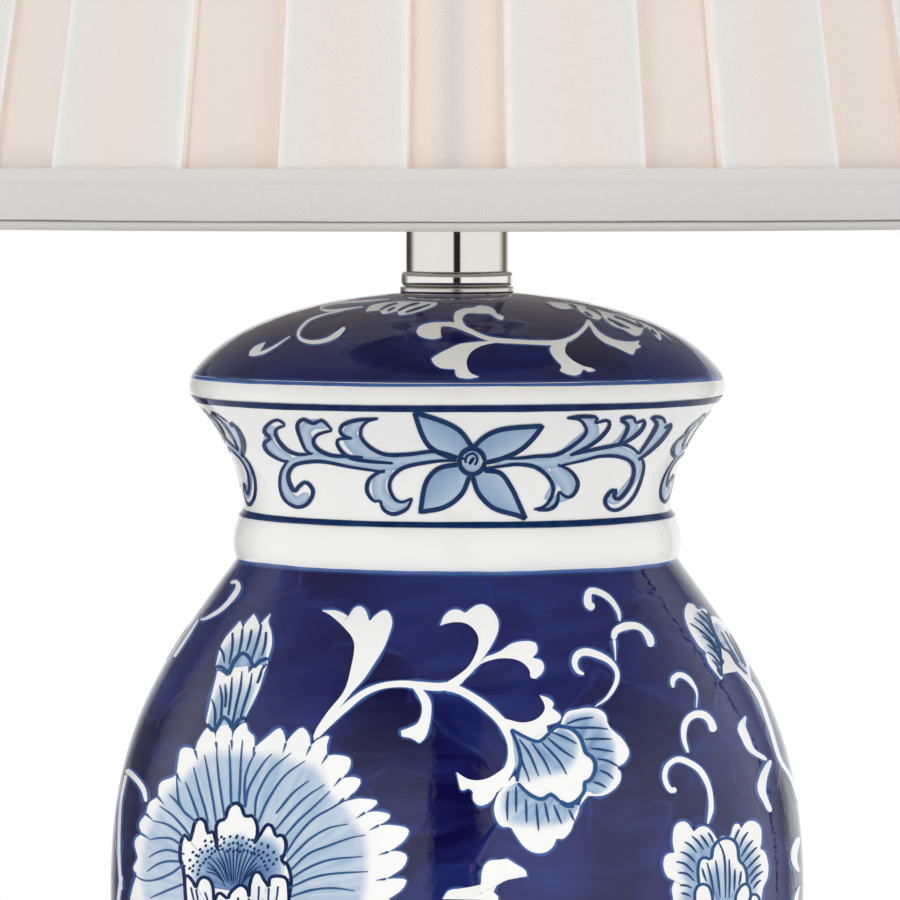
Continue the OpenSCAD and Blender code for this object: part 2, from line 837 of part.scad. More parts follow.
// A wire of even thickness along points in the upright plane through the legs
module bent_wire(pts, r, sides) {
    n = len(pts);
    rings = [
        for (i = [0:n - 1])
            let (
                back = pts[max(i - 1, 0)],
                ahead = pts[min(i + 1, n - 1)],
                along = (ahead - back) / norm(ahead - back)
            )
                for (k = [0:sides - 1])
                    let (t = 360 * k / sides)
                        [
                            pts[i][0] + r * cos(t) * along[1],
                            r * sin(t),
                            pts[i][1] - r * cos(t) * along[0]
                        ]
    ];
    polyhedron(
        points = rings,
        faces = concat(
            [[for (k = [0:sides - 1]) k]],
            [[for (k = [0:sides - 1]) n * sides - 1 - k]],
            [
                for (i = [0:n - 2])
                    for (k = [0:sides - 1])
                        let (a = i * sides + k, b = i * sides + (k + 1) % sides)
                            for (half = [[a, a + sides, b + sides], [a, b + sides, b]])
                                half
            ]
        )
    );
}

module harp() {
    foot_z = saddle_top_z + cup_floor + face_gap;
    last = len(harp_half) - 1;
    middle_line = concat(
        harp_half,
        [[0, harp_top_z]],
        [for (i = [0:last]) [-harp_half[last - i][0], harp_half[last - i][1]]]
    );
    color("gold")
        difference() {
            union() {
                for (side = [-1, 1])
                    translate([side * harp_leg_x, 0, foot_z])
                        cylinder(h = harp_leg_z - foot_z, r = harp_wire_r, $fn = SMALL_FN);
                bent_wire(middle_line, harp_wire_r * BENT_PART, BENT_SIDES);
                translate([0, 0, harp_top_z - hub_h / 2])
                    cylinder(h = hub_h, r = hub_r, $fn = SMALL_FN);
            }
            translate([0, 0, harp_top_z - hub_h])
                cylinder(h = 2 * hub_h, r = pin_r + running_gap, $fn = SMALL_FN);
        }
}

// A sleeve that locks one leg of the harp to the saddle
module harp_sleeve(side) {
    cup_r = harp_wire_r + running_gap + cup_wall;
    bore_r = cup_r + 2 * running_gap;
    skirt_h = cup_h + face_gap;
    color("gold")
        translate([side * harp_leg_x, 0, saddle_top_z + face_gap])
            difference() {
                cylinder(h = skirt_h + sleeve_lip_h, r = bore_r + sleeve_wall, $fn = SMALL_FN);
                translate([0, 0, -CUT])
                    cylinder(h = skirt_h + CUT, r = bore_r, $fn = SMALL_FN);
                cylinder(h = skirt_h + sleeve_lip_h + CUT, r = harp_wire_r + running_gap, $fn = SMALL_FN);
            }
}

module harp_sleeve_left() {
    harp_sleeve(-1);
}

module harp_sleeve_right() {
    harp_sleeve(1);
}

module harp_stud() {
    hub_bottom_z = seat_z - shelf_t - face_gap - hub_h;
    rivet_z = hub_bottom_z - face_gap - rivet_t;
    color("gold")
        union() {
            translate([0, 0, rivet_z])
                cylinder(h = rivet_t, r = rivet_r, $fn = SMALL_FN);
            translate([0, 0, rivet_z])
                cylinder(h = seat_z - rivet_z, r = pin_r, $fn = SMALL_FN);
            translate([0, 0, seat_z - shelf_t])
                cylinder(h = shelf_t, r = shelf_r, $fn = SMALL_FN);
            translate([0, 0, seat_z - shelf_t])
                cylinder(h = shelf_t + stud_h, r = stud_r, $fn = SMALL_FN);
        }
}

module shade_fitter() {
    ring_z = shade_top_z - ring_inset;
    ring_r = shade_r(ring_z) - ring_in;
    arm_z = seat_z + fitter_t / 2;
    color("silver")
        difference() {
            union() {
                translate([0, 0, seat_z])
                    cylinder(h = fitter_t, r = fitter_r);
                wire_ring(ring_r, ring_z, ring_wire_r);
                for (i = [0:arms - 1])
                    let (a = 90 + i * 360 / arms)
                        wire(
                            [(fitter_r - arm_r) * cos(a), (fitter_r - arm_r) * sin(a), arm_z + arm_r],
                            [ring_r * cos(a), ring_r * sin(a), ring_z],
                            arm_r
                        );
            }
            translate([0, 0, seat_z - CUT])
                cylinder(h = fitter_t + 2 * CUT, r = stud_r + running_gap, $fn = SMALL_FN);
        }
}

module shade_bottom_ring() {
    ring_z = shade_bottom_z + ring_inset;
    color("silver")
        wire_ring(shade_r(ring_z) - ring_in, ring_z, ring_wire_r);
}

module shade_lining() {
    color("ivory")
        cone_skin(shade_bottom_z + layer_gap, shade_top_z - layer_gap, lining_in, lining_t);
}

// The outline of the pleated cloth at one height: angles round the shade, with the panels raised
function pleat_ring(z, inside, side_shift) =
    let (
        pitch = 360 / pleats,
        half = pitch * panel_part / 2,
        gap_half = pitch / 2 - half - pleat_side,
        profile = [
            [side_shift - half, 0], [-half / 3, 0], [half / 3, 0], [half - side_shift, 0],
            [half + pleat_side - side_shift, pleat_depth],
            [pitch / 2 - gap_half / 3, pleat_depth],
            [pitch / 2 + gap_half / 3, pleat_depth],
            [pitch - half - pleat_side + side_shift, pleat_depth]
        ]
    )
        [
            for (i = [0:pleats - 1])
                for (p = profile)
                    let (a = -90 + pitch * (i + 0.5) + p[0], r = shade_r(z) - inside - p[1])
                        [r * cos(a), r * sin(a), z]
        ];

module pleated_fabric() {
    z0 = shade_bottom_z + hem_z;
    z1 = shade_top_z - hem_z;
    side_shift = cloth_t / shade_bottom_r * 180 / PI;
    outer_low = pleat_ring(z0, cloth_in, 0);
    outer_high = pleat_ring(z1, cloth_in, 0);
    inner_low = pleat_ring(z0, cloth_in + cloth_t, side_shift);
    inner_high = pleat_ring(z1, cloth_in + cloth_t, side_shift);
    n = len(outer_low);
    color("white")
        polyhedron(
            points = concat(outer_low, outer_high, inner_low, inner_high),
            faces = [
                for (i = [0:n - 1])
                    let (
                        j = (i + 1) % n,
                        quads = [
                            [i, n + i, n + j, j],
                            [2 * n + i, 2 * n + j, 3 * n + j, 3 * n + i],
                            [n + i, 3 * n + i, 3 * n + j, n + j],
                            [i, j, 2 * n + j, 2 * n + i]
                        ]
                    )
                        for (q = quads)
                            for (half = [[q[0], q[1], q[2]], [q[0], q[2], q[3]]])
                                half
            ]
        );
}

module bottom_hem() {
    color("whitesmoke")
        cone_skin(shade_bottom_z + hem_z, shade_bottom_z + hem_h, 0, hem_t);
}

module top_hem() {
    color("whitesmoke")
        cone_skin(shade_top_z - hem_h, shade_top_z - hem_z, 0, hem_t);
}

module bottom_piping() {
    z = shade_bottom_z + piping_r;
    color("lightgray")
        wire_ring(shade_r(z) - piping_r, z, piping_r);
}

module top_piping() {
    z = shade_top_z - piping_r;
    color("lightgray")
        wire_ring(shade_r(z) - piping_r, z, piping_r);
}

module finial() {
    z0 = seat_z + fitter_t + face_gap;
    neck_z = z0 + finial_foot_h;
    low_z = neck_z + finial_neck_h;
    ball_z = low_z + finial_ball_r * cos(asin(finial_neck_r / finial_ball_r));
    tip_angle = acos(finial_tip_r / finial_ball_r);
    top_z = ball_z + finial_ball_r * sin(tip_angle);
    low_angle = -acos(finial_neck_r / finial_ball_r);
    bore_h = stud_h - fitter_t + running_gap;
    color("silver")
        difference() {
            rotate_extrude()
                polygon(concat(
                    [[0, z0], [finial_foot_r, z0]],
                    curve([
                        [finial_foot_r, neck_z - finial_foot_h * 0.5],
                        [finial_foot_r, neck_z],
                        [finial_neck_r, neck_z],
                        [finial_neck_r, low_z]
                    ], SHORT_STEPS),
                    arc([0, ball_z], finial_ball_r, low_angle, tip_angle, 2 * CURVE_STEPS),
                    [[finial_tip_r, top_z + finial_tip_h * 0.6]],
                    [[finial_tip_r * 0.7, top_z + finial_tip_h], [0, top_z + finial_tip_h]]
                ));
            translate([0, 0, z0 - CUT])
                cylinder(h = bore_h + CUT, r = stud_r + running_gap, $fn = SMALL_FN);
        }
}

felt_pad();
base_shell();
cord_bushing();
base_washer();
base_lock_washer();
base_nut();
threaded_rod();
foot_gasket();
jar();
seat_disc();
neck_bead();
neck_tube();
neck_cap();
harp_saddle();
saddle_nut();
socket_cap();
socket_shell();
socket_insulator();
socket_body();
screw_shell();
center_contact();
terminal_screws();
switch_shaft();
switch_knob();
bulb_contact();
bulb_insulator();
bulb_cap();
bulb_glass();
harp();
harp_sleeve_left();
harp_sleeve_right();
harp_stud();
shade_fitter();
shade_bottom_ring();
shade_lining();
pleated_fabric();
bottom_hem();
top_hem();
bottom_piping();
top_piping();
finial();
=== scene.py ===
# %% [markdown]
# # A table lamp with a painted porcelain jar
# The lamp is a round lidded jar on a metal foot, painted in cobalt blue under a clear glaze, with a
# pleated cloth shade on a harp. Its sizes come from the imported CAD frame, which is loaded first, so every
# piece made here lies in the same place, in metres, as the solid that it dresses.

# %% Frame and tools
import bmesh
import bpy
import numpy as np
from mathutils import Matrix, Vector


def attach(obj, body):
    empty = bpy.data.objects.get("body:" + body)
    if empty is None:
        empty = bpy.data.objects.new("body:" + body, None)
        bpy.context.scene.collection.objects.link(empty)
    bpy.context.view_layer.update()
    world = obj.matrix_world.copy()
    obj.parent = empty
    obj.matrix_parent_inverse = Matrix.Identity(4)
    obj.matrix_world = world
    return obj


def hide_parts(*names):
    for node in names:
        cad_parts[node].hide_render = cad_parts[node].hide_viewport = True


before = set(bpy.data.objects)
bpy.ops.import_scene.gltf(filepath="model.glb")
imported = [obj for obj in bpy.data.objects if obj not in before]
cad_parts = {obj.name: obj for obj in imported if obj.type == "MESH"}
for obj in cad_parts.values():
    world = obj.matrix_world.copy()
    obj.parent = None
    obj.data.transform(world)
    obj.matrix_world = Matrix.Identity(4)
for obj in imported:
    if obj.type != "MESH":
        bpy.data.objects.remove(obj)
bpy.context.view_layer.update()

MM = 0.001

# %% [markdown]
# ## Surfaces from grids
# Every new piece is a grid of points: rows and columns run along two parameters, and four neighbours
# make a face. One helper turns any number of such grids into a mesh, so that the pieces below only have
# to say where their points are.


# %% Grid surfaces
def put_mesh(name, grids, wrap=(False, False), marks=None, crease=40, merge=False):
    """Point (row, column) of each grid is one corner; the face at (i, j) joins (i, j), (i, j+1),
    (i+1, j+1) and (i+1, j). wrap closes the rows or the columns. marks are grids of one value a point."""
    points, faces, start = [], [], 0
    for grid in grids:
        n, m = grid.shape[:2]
        i = np.arange(n if wrap[0] else n - 1)[:, None]
        j = np.arange(m if wrap[1] else m - 1)[None, :]
        near, far = i * m, (i + 1) % n * m
        corners = np.stack([near + j, near + (j + 1) % m, far + (j + 1) % m, far + j], -1)
        faces.append(corners.reshape(-1, 4) + start)
        points.append(grid.reshape(-1, 3))
        start += n * m
    mesh = bpy.data.meshes.new(name)
    mesh.from_pydata(np.vstack(points).tolist(), [], np.vstack(faces).tolist())
    for key, values in (marks or {}).items():
        flat = np.concatenate([v.reshape(-1) for v in values]).astype(np.float32)
        mesh.attributes.new(key, "FLOAT", "POINT").data.foreach_set("value", flat)
    if merge:
        work = bmesh.new()
        work.from_mesh(mesh)
        bmesh.ops.remove_doubles(work, verts=work.verts, dist=1e-6)
        work.to_mesh(mesh)
        work.free()
    mesh.polygons.foreach_set("use_smooth", [True] * len(mesh.polygons))
    mesh.set_sharp_from_angle(angle=np.radians(crease))
    piece = bpy.data.objects.new(name, mesh)
    bpy.context.scene.collection.objects.link(piece)
    return piece


def bezier(points, count=24):
    """A smooth curve with two handles: the points weighted by (1-t)^3, 3t(1-t)^2, 3t^2(1-t) and t^3."""
    p, t = np.asarray(points, float), np.linspace(0, 1, count)[:, None]
    return (1 - t) ** 3 * p[0] + 3 * t * (1 - t) ** 2 * p[1] + 3 * t**2 * (1 - t) * p[2] + t**3 * p[3]


def even(line, count):
    """The same line with its points at equal steps along its length."""
    if np.ptp(line, axis=0).max() == 0:
        return np.repeat(line[:1], count, 0)
    run = np.concatenate([[0], np.cumsum(np.linalg.norm(np.diff(line, axis=0), axis=1))])
    at = np.linspace(0, run[-1], count)
    return np.stack([np.interp(at, run, line[:, k]) for k in range(line.shape[1])], 1)


def smooth(points, count=40):
    """A curve through given points: each stretch is a cubic that leaves a point along the line
    between that point's two neighbours. Two points that are the same stay one spot."""
    p = np.asarray(points, float)
    if np.ptp(p, axis=0).max() > 0:
        a = np.vstack([2 * p[0] - p[1], p, 2 * p[-1] - p[-2]])
        t = np.linspace(0, 1, 10, endpoint=False)[:, None, None]
        w, x, y, z = a[:-3], a[1:-2], a[2:-1], a[3:]
        square, cube = w - 2.5 * x + 2 * y - 0.5 * z, 1.5 * (x - y) + 0.5 * (z - w)
        q = x + 0.5 * t * (y - w) + t**2 * square + t**3 * cube
        p = np.vstack([q.transpose(1, 0, 2).reshape(-1, p.shape[1]), p[-1]])
    return even(p, count) if np.ptp(p, axis=0).max() > 0 else np.repeat(p[:1], count, 0)


def lathe(name, profile, around=128, crease=40):
    """A turned form: the profile point (radius, height) in millimetres goes round the lamp's axis, so
    x = radius * cos(angle), y = radius * sin(angle) and z = height."""
    p = np.asarray(profile, float) * MM
    turn = np.linspace(0, 2 * np.pi, around, endpoint=False)
    rings = np.stack([
        np.outer(p[:, 0], np.cos(turn)), np.outer(p[:, 0], np.sin(turn)), np.repeat(p[:, 1:], around, 1),
    ], -1)
    return put_mesh(name, [rings], wrap=(False, True), crease=crease, merge=True)

# %% [markdown]
# ## Camera, light and floor
# The picture shows the middle of the lamp from a little above, from about two metres away. The lamp
# stands in plain white surroundings with a dark gap behind the camera, which is what gives the glaze
# and the metal their dark strip down the middle and their bright sides.

# %% Camera
EYE = np.array([-0.0025, -2.01, 0.4076])
TILT = np.radians(2.86)
LENS, SENSOR, FIELD = 223.6, 36.0, 900
scene = bpy.context.scene
camera = bpy.data.objects.new("picture_camera", bpy.data.cameras.new("picture_camera"))
camera.data.lens, camera.data.sensor_width = LENS, SENSOR
camera.location = EYE
camera.rotation_euler = (np.pi / 2 - TILT, 0, 0)
scene.collection.objects.link(camera)
scene.camera = camera
scene.view_settings.view_transform = "Standard"


# %% Nodes and materials
class Graph:
    """The nodes of one tree. A method adds a node and gives its result. What goes into a node is a
    number, a colour, or the result of another node."""

    def __init__(self, tree):
        self.tree = tree

    def join(self, value, socket):
        if isinstance(value, bpy.types.NodeSocket):
            self.tree.links.new(value, socket)
        elif value is not None:
            socket.default_value = (*value, 1) if socket.type == "RGBA" else value

    def node(self, kind, links=None, **settings):
        made = self.tree.nodes.new("ShaderNode" + kind)
        for key, value in settings.items():
            setattr(made, key, value)
        for key, value in (links or {}).items():
            self.join(value, made.inputs[key])
        return made

    def math(self, operation, *values, **settings):
        return self.node("Math", dict(enumerate(values)), operation=operation, **settings).outputs[0]

    def vector(self, operation, *values):
        return self.node("VectorMath", dict(enumerate(values)), operation=operation)

    def ramp(self, value, low, high, start=0.0, stop=1.0):
        """The value's way from low to high, turned into a way from start to stop."""
        ends = {"Value": value, "From Min": low, "From Max": high, "To Min": start, "To Max": stop}
        return self.node("MapRange", ends).outputs[0]

    def noise(self, place, scale, detail, **more):
        return self.node("TexNoise", {"Vector": place, "Scale": scale, "Detail": detail, **more}).outputs

    def blend(self, factor, first, second):
        """Between two numbers."""
        return self.node("Mix", {0: factor, 2: first, 3: second}).outputs[0]

    def mix(self, factor, first, second):
        """Between two colours."""
        return self.node("Mix", {0: factor, 6: first, 7: second}, data_type="RGBA").outputs[2]

    def group(self, effect, **values):
        made = self.tree.nodes.new("ShaderNodeGroup")
        made.node_tree = effect.tree
        for key, value in values.items():
            self.join(value, made.inputs[key])
        return made.outputs


class Finish(Graph):
    """A material being made: one Principled shader, and the nodes that feed its sockets."""

    def __init__(self, name, color, roughness, metallic=0.0, **sockets):
        self.made = bpy.data.materials.new(name)
        self.made.use_nodes = True
        super().__init__(self.made.node_tree)
        self.shader = self.tree.nodes["Principled BSDF"]
        self.made.diffuse_color = (*color, 1)
        self.feed(Base_Color=color, Roughness=roughness, Metallic=metallic, **sockets)
        self.place = self.node("TexCoord").outputs["Object"]

    def feed(self, **sockets):
        for key, value in sockets.items():
            self.join(value, self.shader.inputs[key.replace("_", " ")])

    def mark(self, name):
        return self.node("Attribute", attribute_name=name).outputs["Fac"]

    def bump(self, height, strength, distance):
        bent = self.node("Bump", {"Height": height, "Strength": strength, "Distance": distance})
        self.feed(Normal=bent.outputs["Normal"])


def linear(red, green, blue):
    """A colour as a screen shows it, from 0 to 255, turned into the light values of Blender."""
    c = np.array([red, green, blue]) / 255
    return tuple(float(v) for v in np.where(c <= 0.04045, c / 12.92, ((c + 0.055) / 1.055) ** 2.4))

# %% World and lamps
DIFFUSE_LIGHT, GAP_LIGHT = 0.66, 0.02
world = bpy.data.worlds.new("white_studio")
scene.world = world
world.use_nodes = True
world.node_tree.nodes.clear()
sky = Graph(world.node_tree)
x, y, z = sky.node("SeparateXYZ", {0: sky.node("TexCoord").outputs["Generated"]}).outputs
# The gap is the dark strip behind the camera, from the floor to the top
gap = sky.math("MULTIPLY", sky.ramp(sky.math("ABSOLUTE", x), 0.105, 0.165, 1, 0), sky.ramp(y, -0.45, -0.6))
# The walls darken towards the back, a little sooner on the right, and so does the ceiling upwards
to_right = sky.ramp(x, 0, 0.3, 0, -0.1)
walls = sky.ramp(sky.math("ADD", y, to_right), 0.46, 0.72, 1, 0.14)
sides = sky.math("MULTIPLY", walls, sky.ramp(z, 0.35, 0.8, 1, 0.12))
# The lit backdrop stands low behind the lamp
far_wall = sky.ramp(sky.math("MULTIPLY_ADD", to_right, -1.2, y), 0.9, 0.99)
backdrop = sky.math("MULTIPLY", far_wall, sky.ramp(z, 0.12, 0.4, 1, 0))
# A thin dark slit between two white panels runs down the right, bent towards the back
slit_place = sky.math("MULTIPLY_ADD", sky.math("POWER", z, 2), -0.3, 0.875)
in_slit = sky.math("COMPARE", sky.math("DIVIDE", y, x), slit_place, 0.02)
slit = sky.math("MULTIPLY", in_slit, sky.math("GREATER_THAN", x, 0.4))
mirrored = sky.blend(sky.math("MAXIMUM", gap, slit), sky.blend(backdrop, sides, 1), GAP_LIGHT)
ray = sky.node("LightPath").outputs
lit = sky.blend(ray["Is Glossy Ray"], DIFFUSE_LIGHT, mirrored)
clear = sky.math("MAXIMUM", ray["Is Camera Ray"], ray["Is Transmission Ray"])
shine = sky.node("Background", {"Color": (1, 1, 1), "Strength": sky.blend(clear, lit, 1)})
sky.node("OutputWorld", {0: shine.outputs[0]})


def soft_lamp(name, place, aim_height, width, height, power):
    """A soft box that lights the lamp without showing in its glaze."""
    lamp = bpy.data.objects.new(name, bpy.data.lights.new(name, "AREA"))
    lamp.data.shape, lamp.data.size, lamp.data.size_y, lamp.data.energy = "RECTANGLE", width, height, power
    lamp.location = place
    aim = np.array([0, 0, aim_height]) - np.array(place)
    lamp.rotation_euler = Vector(aim).to_track_quat("-Z", "Y").to_euler()
    lamp.visible_glossy = False
    scene.collection.objects.link(lamp)


soft_lamp("left_softbox", (-1.7, -1.5, 1.1), 0.35, 0.9, 1.5, 17)
soft_lamp("right_softbox", (1.9, -1.2, 1.3), 0.3, 0.9, 1.5, 17)
soft_lamp("top_softbox", (0.0, -0.3, 2.3), 0.4, 1.4, 1.4, 10)

# %% Floor
FLOOR_R, WHITE_FROM = 0.95, 0.93
rings = np.linspace(0, 1, 24) ** 0.8 * FLOOR_R
floor = lathe("floor", np.stack([rings[::-1] / MM, np.zeros(24)], 1), around=96)
pale = Finish("pale_floor", (0.86, 0.86, 0.86), 0.6)
away = pale.vector("LENGTH", pale.place).outputs["Value"]
pale.feed(Base_Color=pale.mix(pale.noise(None, 60.0, 2.0)[0], (0.85, 0.85, 0.85), (0.88, 0.88, 0.88)))
glow = pale.node("Emission", {"Color": (1, 1, 1), "Strength": 1.0})
edge = pale.node("MixShader", {0: pale.ramp(away, 0.35, WHITE_FROM), 1: pale.shader.outputs[0],
    2: glow.outputs[0]})
pale.join(edge.outputs[0], pale.tree.nodes["Material Output"].inputs[0])
floor.data.materials.append(pale.made)
print("floor radius:", FLOOR_R, "m, white from", WHITE_FROM, "m")

# %% [markdown]
# ## Effects that several finishes share
# Glaze is never quite flat, brushed metal has fine rings, and cloth has a weave. Each effect is a node
# group that is built once and placed in the materials with its own values. A group puts out heights,
# masks and colours; the shader stays in the material.


# %% Shared effects
def effect(name, **inputs):
    """A node group with its inputs: None stands for a place, three numbers for a colour."""
    made = Graph(bpy.data.node_groups.new(name, "ShaderNodeTree"))
    for key, value in inputs.items():
        kind = "Vector" if value is None else "Color" if isinstance(value, tuple) else "Float"
        socket = made.tree.interface.new_socket(name=key, in_out="INPUT", socket_type="NodeSocket" + kind)
        if value is not None:
            socket.default_value = (*value, 1) if kind == "Color" else value
    return made, made.tree.nodes.new("NodeGroupInput").outputs


def results(made, **outputs):
    """The group's outputs, each with the node result that it puts out."""
    for key, source in outputs.items():
        kind = "NodeSocketColor" if source.type == "RGBA" else "NodeSocketFloat"
        made.tree.interface.new_socket(name=key, in_out="OUTPUT", socket_type=kind)
    end = made.tree.nodes.new("NodeGroupOutput")
    for key, source in outputs.items():
        made.join(source, end.inputs[key])


ripple, given = effect("glaze_ripple", Place=None, Size=30.0)
broad = ripple.noise(given["Place"], given["Size"], 1.0)[0]
small = ripple.noise(given["Place"], ripple.math("MULTIPLY", given["Size"], 9.0), 2.0)[0]
results(ripple, Height=ripple.math("MULTIPLY_ADD", small, 0.16, broad))

# Cobalt: brush loads with hair lines between them, and slanting strokes over them
LOADS = 24.0
cobalt, given = effect("cobalt_brushwork", Place=None, Deep=linear(12, 6, 58), Bright=linear(36, 46, 114))
bend = cobalt.noise(given["Place"], 38.0, 2.0)["Color"]
bent = cobalt.vector("MULTIPLY_ADD", bend, (0.014, 0.014, 0.014), given["Place"]).outputs[0]
cells = cobalt.node("TexVoronoi", {"Vector": bent, "Scale": LOADS, "Smoothness": 0.35}, feature="SMOOTH_F1")
loads = cobalt.node("SeparateColor", {0: cells.outputs["Color"]}).outputs[0]
slant = cobalt.node("Mapping", {"Vector": bent, "Rotation": (0.5, 0.35, 0), "Scale": (20, 20, 90)})
strokes = cobalt.ramp(cobalt.noise(slant.outputs[0], 1.3, 3.0, Distortion=0.25)[0], 0.45, 0.75)
borders = cobalt.node("TexVoronoi", {"Vector": bent, "Scale": LOADS}, feature="DISTANCE_TO_EDGE")
broken = cobalt.ramp(cobalt.noise(given["Place"], 60.0, 1.0)[0], 0.46, 0.66)
hairs = cobalt.math("MULTIPLY", cobalt.ramp(borders.outputs["Distance"], 0, 0.03, 1, 0), broken)
light = cobalt.math("MULTIPLY_ADD", loads, 0.7, -0.06)
light = cobalt.math("MULTIPLY_ADD", strokes, 0.5, light)
light = cobalt.math("MULTIPLY_ADD", hairs, 0.5, light, use_clamp=True)
results(cobalt, Color=cobalt.mix(light, given["Deep"], given["Bright"]), Strokes=light)

brushed, given = effect("brushed_rings", Place=None, Rings=2600.0, Low=0.2, High=0.36)
stretch = brushed.node("CombineXYZ", {0: 14.0, 1: 14.0, 2: given["Rings"]}).outputs[0]
fine = brushed.noise(brushed.vector("MULTIPLY", given["Place"], stretch).outputs[0], 1.0, 2.0)[0]
rough = brushed.ramp(fine, 0.3, 0.7, given["Low"], given["High"])
results(brushed, Roughness=rough, Height=fine, Tone=brushed.noise(given["Place"], 90.0, 2.0)[0])

HALF_TURN = 3.14159
weave, given = effect("plain_weave", Threads=None, Slub=0.5)
wobble = weave.noise(given["Threads"], 0.35, 2.0)[0]
ways = weave.node("SeparateXYZ", {0: given["Threads"]}).outputs
warp, weft = (weave.math("SINE", weave.math("MULTIPLY", ways[k], HALF_TURN)) for k in (0, 1))
slubbed = weave.math("MULTIPLY_ADD", wobble, given["Slub"], weave.math("MULTIPLY", warp, weft))
stretched = weave.node("Mapping", {"Vector": given["Threads"], "Scale": (0.9, 0.06, 1)}).outputs[0]
results(weave, Height=slubbed, Tone=weave.noise(stretched, 1.0, 3.0)[0])
print("shared effects:", [g.name for g in bpy.data.node_groups])

# %% [markdown]
# ## The jar
# The real jar is thrown or cast porcelain, painted with cobalt by hand and covered in clear glaze. Its
# outline is one run of smooth curves: foot ring, belly, shoulder, white collar, flared neck, rolled rim
# and domed lid. It is a turned form, so the same curves as in the CAD are carried round the axis, only
# with many more steps, so that reflections run over it without a kink.

# %% Jar outline
JAR_CURVES = [
    [(80, 24), (82.2, 25.1), (82.2, 33.9), (79, 35)],
    [(79, 35), (107.9, 73.42), (125, 93.76), (125, 148)],
    [(125, 148), (125, 207.05), (107.6, 229.94), (79.2, 268.5)],
    [(79.2, 268.5), (82.4, 272.68), (79.9, 284.16), (76.7, 285.9)],
    [(76.7, 285.9), (78.33, 303.38), (82.89, 310.98), (93, 323.9)],
    [(93, 323.9), (96.52, 328.52), (97.4, 329.4), (95.2, 334.9)],
    [(95.2, 334.9), (85.89, 348.29), (64.74, 360.22), (21, 364)],
]
JAR_STEPS = [12, 44, 44, 16, 22, 14, 34]
jar_outline = np.vstack([bezier(c, n)[:-1] for c, n in zip(JAR_CURVES, JAR_STEPS)] + [[[21, 364]]])
JAR_R, JAR_Z = jar_outline[:, 0] * MM, jar_outline[:, 1] * MM
BODY_TOP, LID_EDGE, FOOT_TOP = 268.5, 334.9, 35.0


def jar_radius(z):
    """The radius of the jar's surface at a height, read off its outline."""
    return np.interp(z, JAR_Z, JAR_R)


profile = np.vstack([[[0, 24], [40, 24]], jar_outline, [[10, 364], [0, 364]]])
jar = lathe("painted_jar", profile, around=384, crease=60)
print("jar triangles:", sum(len(p.vertices) - 2 for p in jar.data.polygons))


# %% Glaze materials
def glaze(name, color, roughness=0.05, cobalt_ground=False, ior=1.5):
    """A glossy glaze with the shared ripple. On cobalt ground it also swells with the brushwork, and
    the brushwork's colour comes out too."""
    made = Finish(name, color, roughness, IOR=ior)
    height, ground = made.group(ripple, Place=made.place, Size=24.0)["Height"], None
    if cobalt_ground:
        brushwork = made.group(cobalt, Place=made.place)
        height, ground = made.math("MULTIPLY_ADD", brushwork["Strokes"], 0.5, height), brushwork["Color"]
    made.bump(height, 0.10, 0.004)
    return made, ground


white_glaze, _ = glaze("white_porcelain_glaze", linear(243, 243, 241))
cloud = white_glaze.noise(white_glaze.place, 30.0, 2.0)[0]
white_glaze.feed(Base_Color=white_glaze.mix(cloud, linear(244, 245, 244), linear(250, 249, 247)))
blue_glaze, ground = glaze("cobalt_glaze", linear(20, 14, 80), cobalt_ground=True)
blue_glaze.feed(Base_Color=ground)
for finish in (white_glaze, blue_glaze):
    jar.data.materials.append(finish.made)
face_z = np.array([p.center.z for p in jar.data.polygons])
blue_part = ((face_z > FOOT_TOP * MM) & (face_z < BODY_TOP * MM)) | (face_z > LID_EDGE * MM)
jar.data.polygons.foreach_set("material_index", blue_part.astype(np.int32))
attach(jar, "lamp_base")
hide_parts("jar")
print("blue share of the jar's faces:", round(float(blue_part.mean()), 2))

# %% [markdown]
# ## Painting on the jar
# The painter leaves the vines, leaves and flowers white in the cobalt ground, lays a pale wash over the
# petals, and draws their veins with a fine brush. The motif is sketched flat on a board of 900 by 900
# steps, as it looks from the picture's viewpoint, with listed points, and each point is carried
# along the line of sight to the glaze. There the strokes make thin skins, which lie over each other up
# to half a millimetre above the glaze: a soft blue rim, the white, the wash and the ink.
#
# A line of the sketch is written as its points, "x,y x,y". A bar marks a corner, and a semicolon stands
# between two lines. The points were given one by one, so nothing repeats in them that a loop could draw.

# %% Carrying a sketch to the glaze
# The lines of sight meet the jar between these distances; they are tried at this many places
NEAREST, FARTHEST, PROBES, HALVINGS = 1.86, 2.06, 70, 14


def sight(board):
    """Directions of the lines of sight through board points: the board's step is a step on the
    camera's sensor, and the camera looks along +Y, tipped down by the tilt."""
    a = (board[..., 0] - FIELD / 2) / FIELD * SENSOR
    b = (FIELD / 2 - board[..., 1]) / FIELD * SENSOR
    across = np.stack([a, np.sin(TILT) * b + np.cos(TILT) * LENS, np.cos(TILT) * b - np.sin(TILT) * LENS], -1)
    return across / across[..., 1:2]


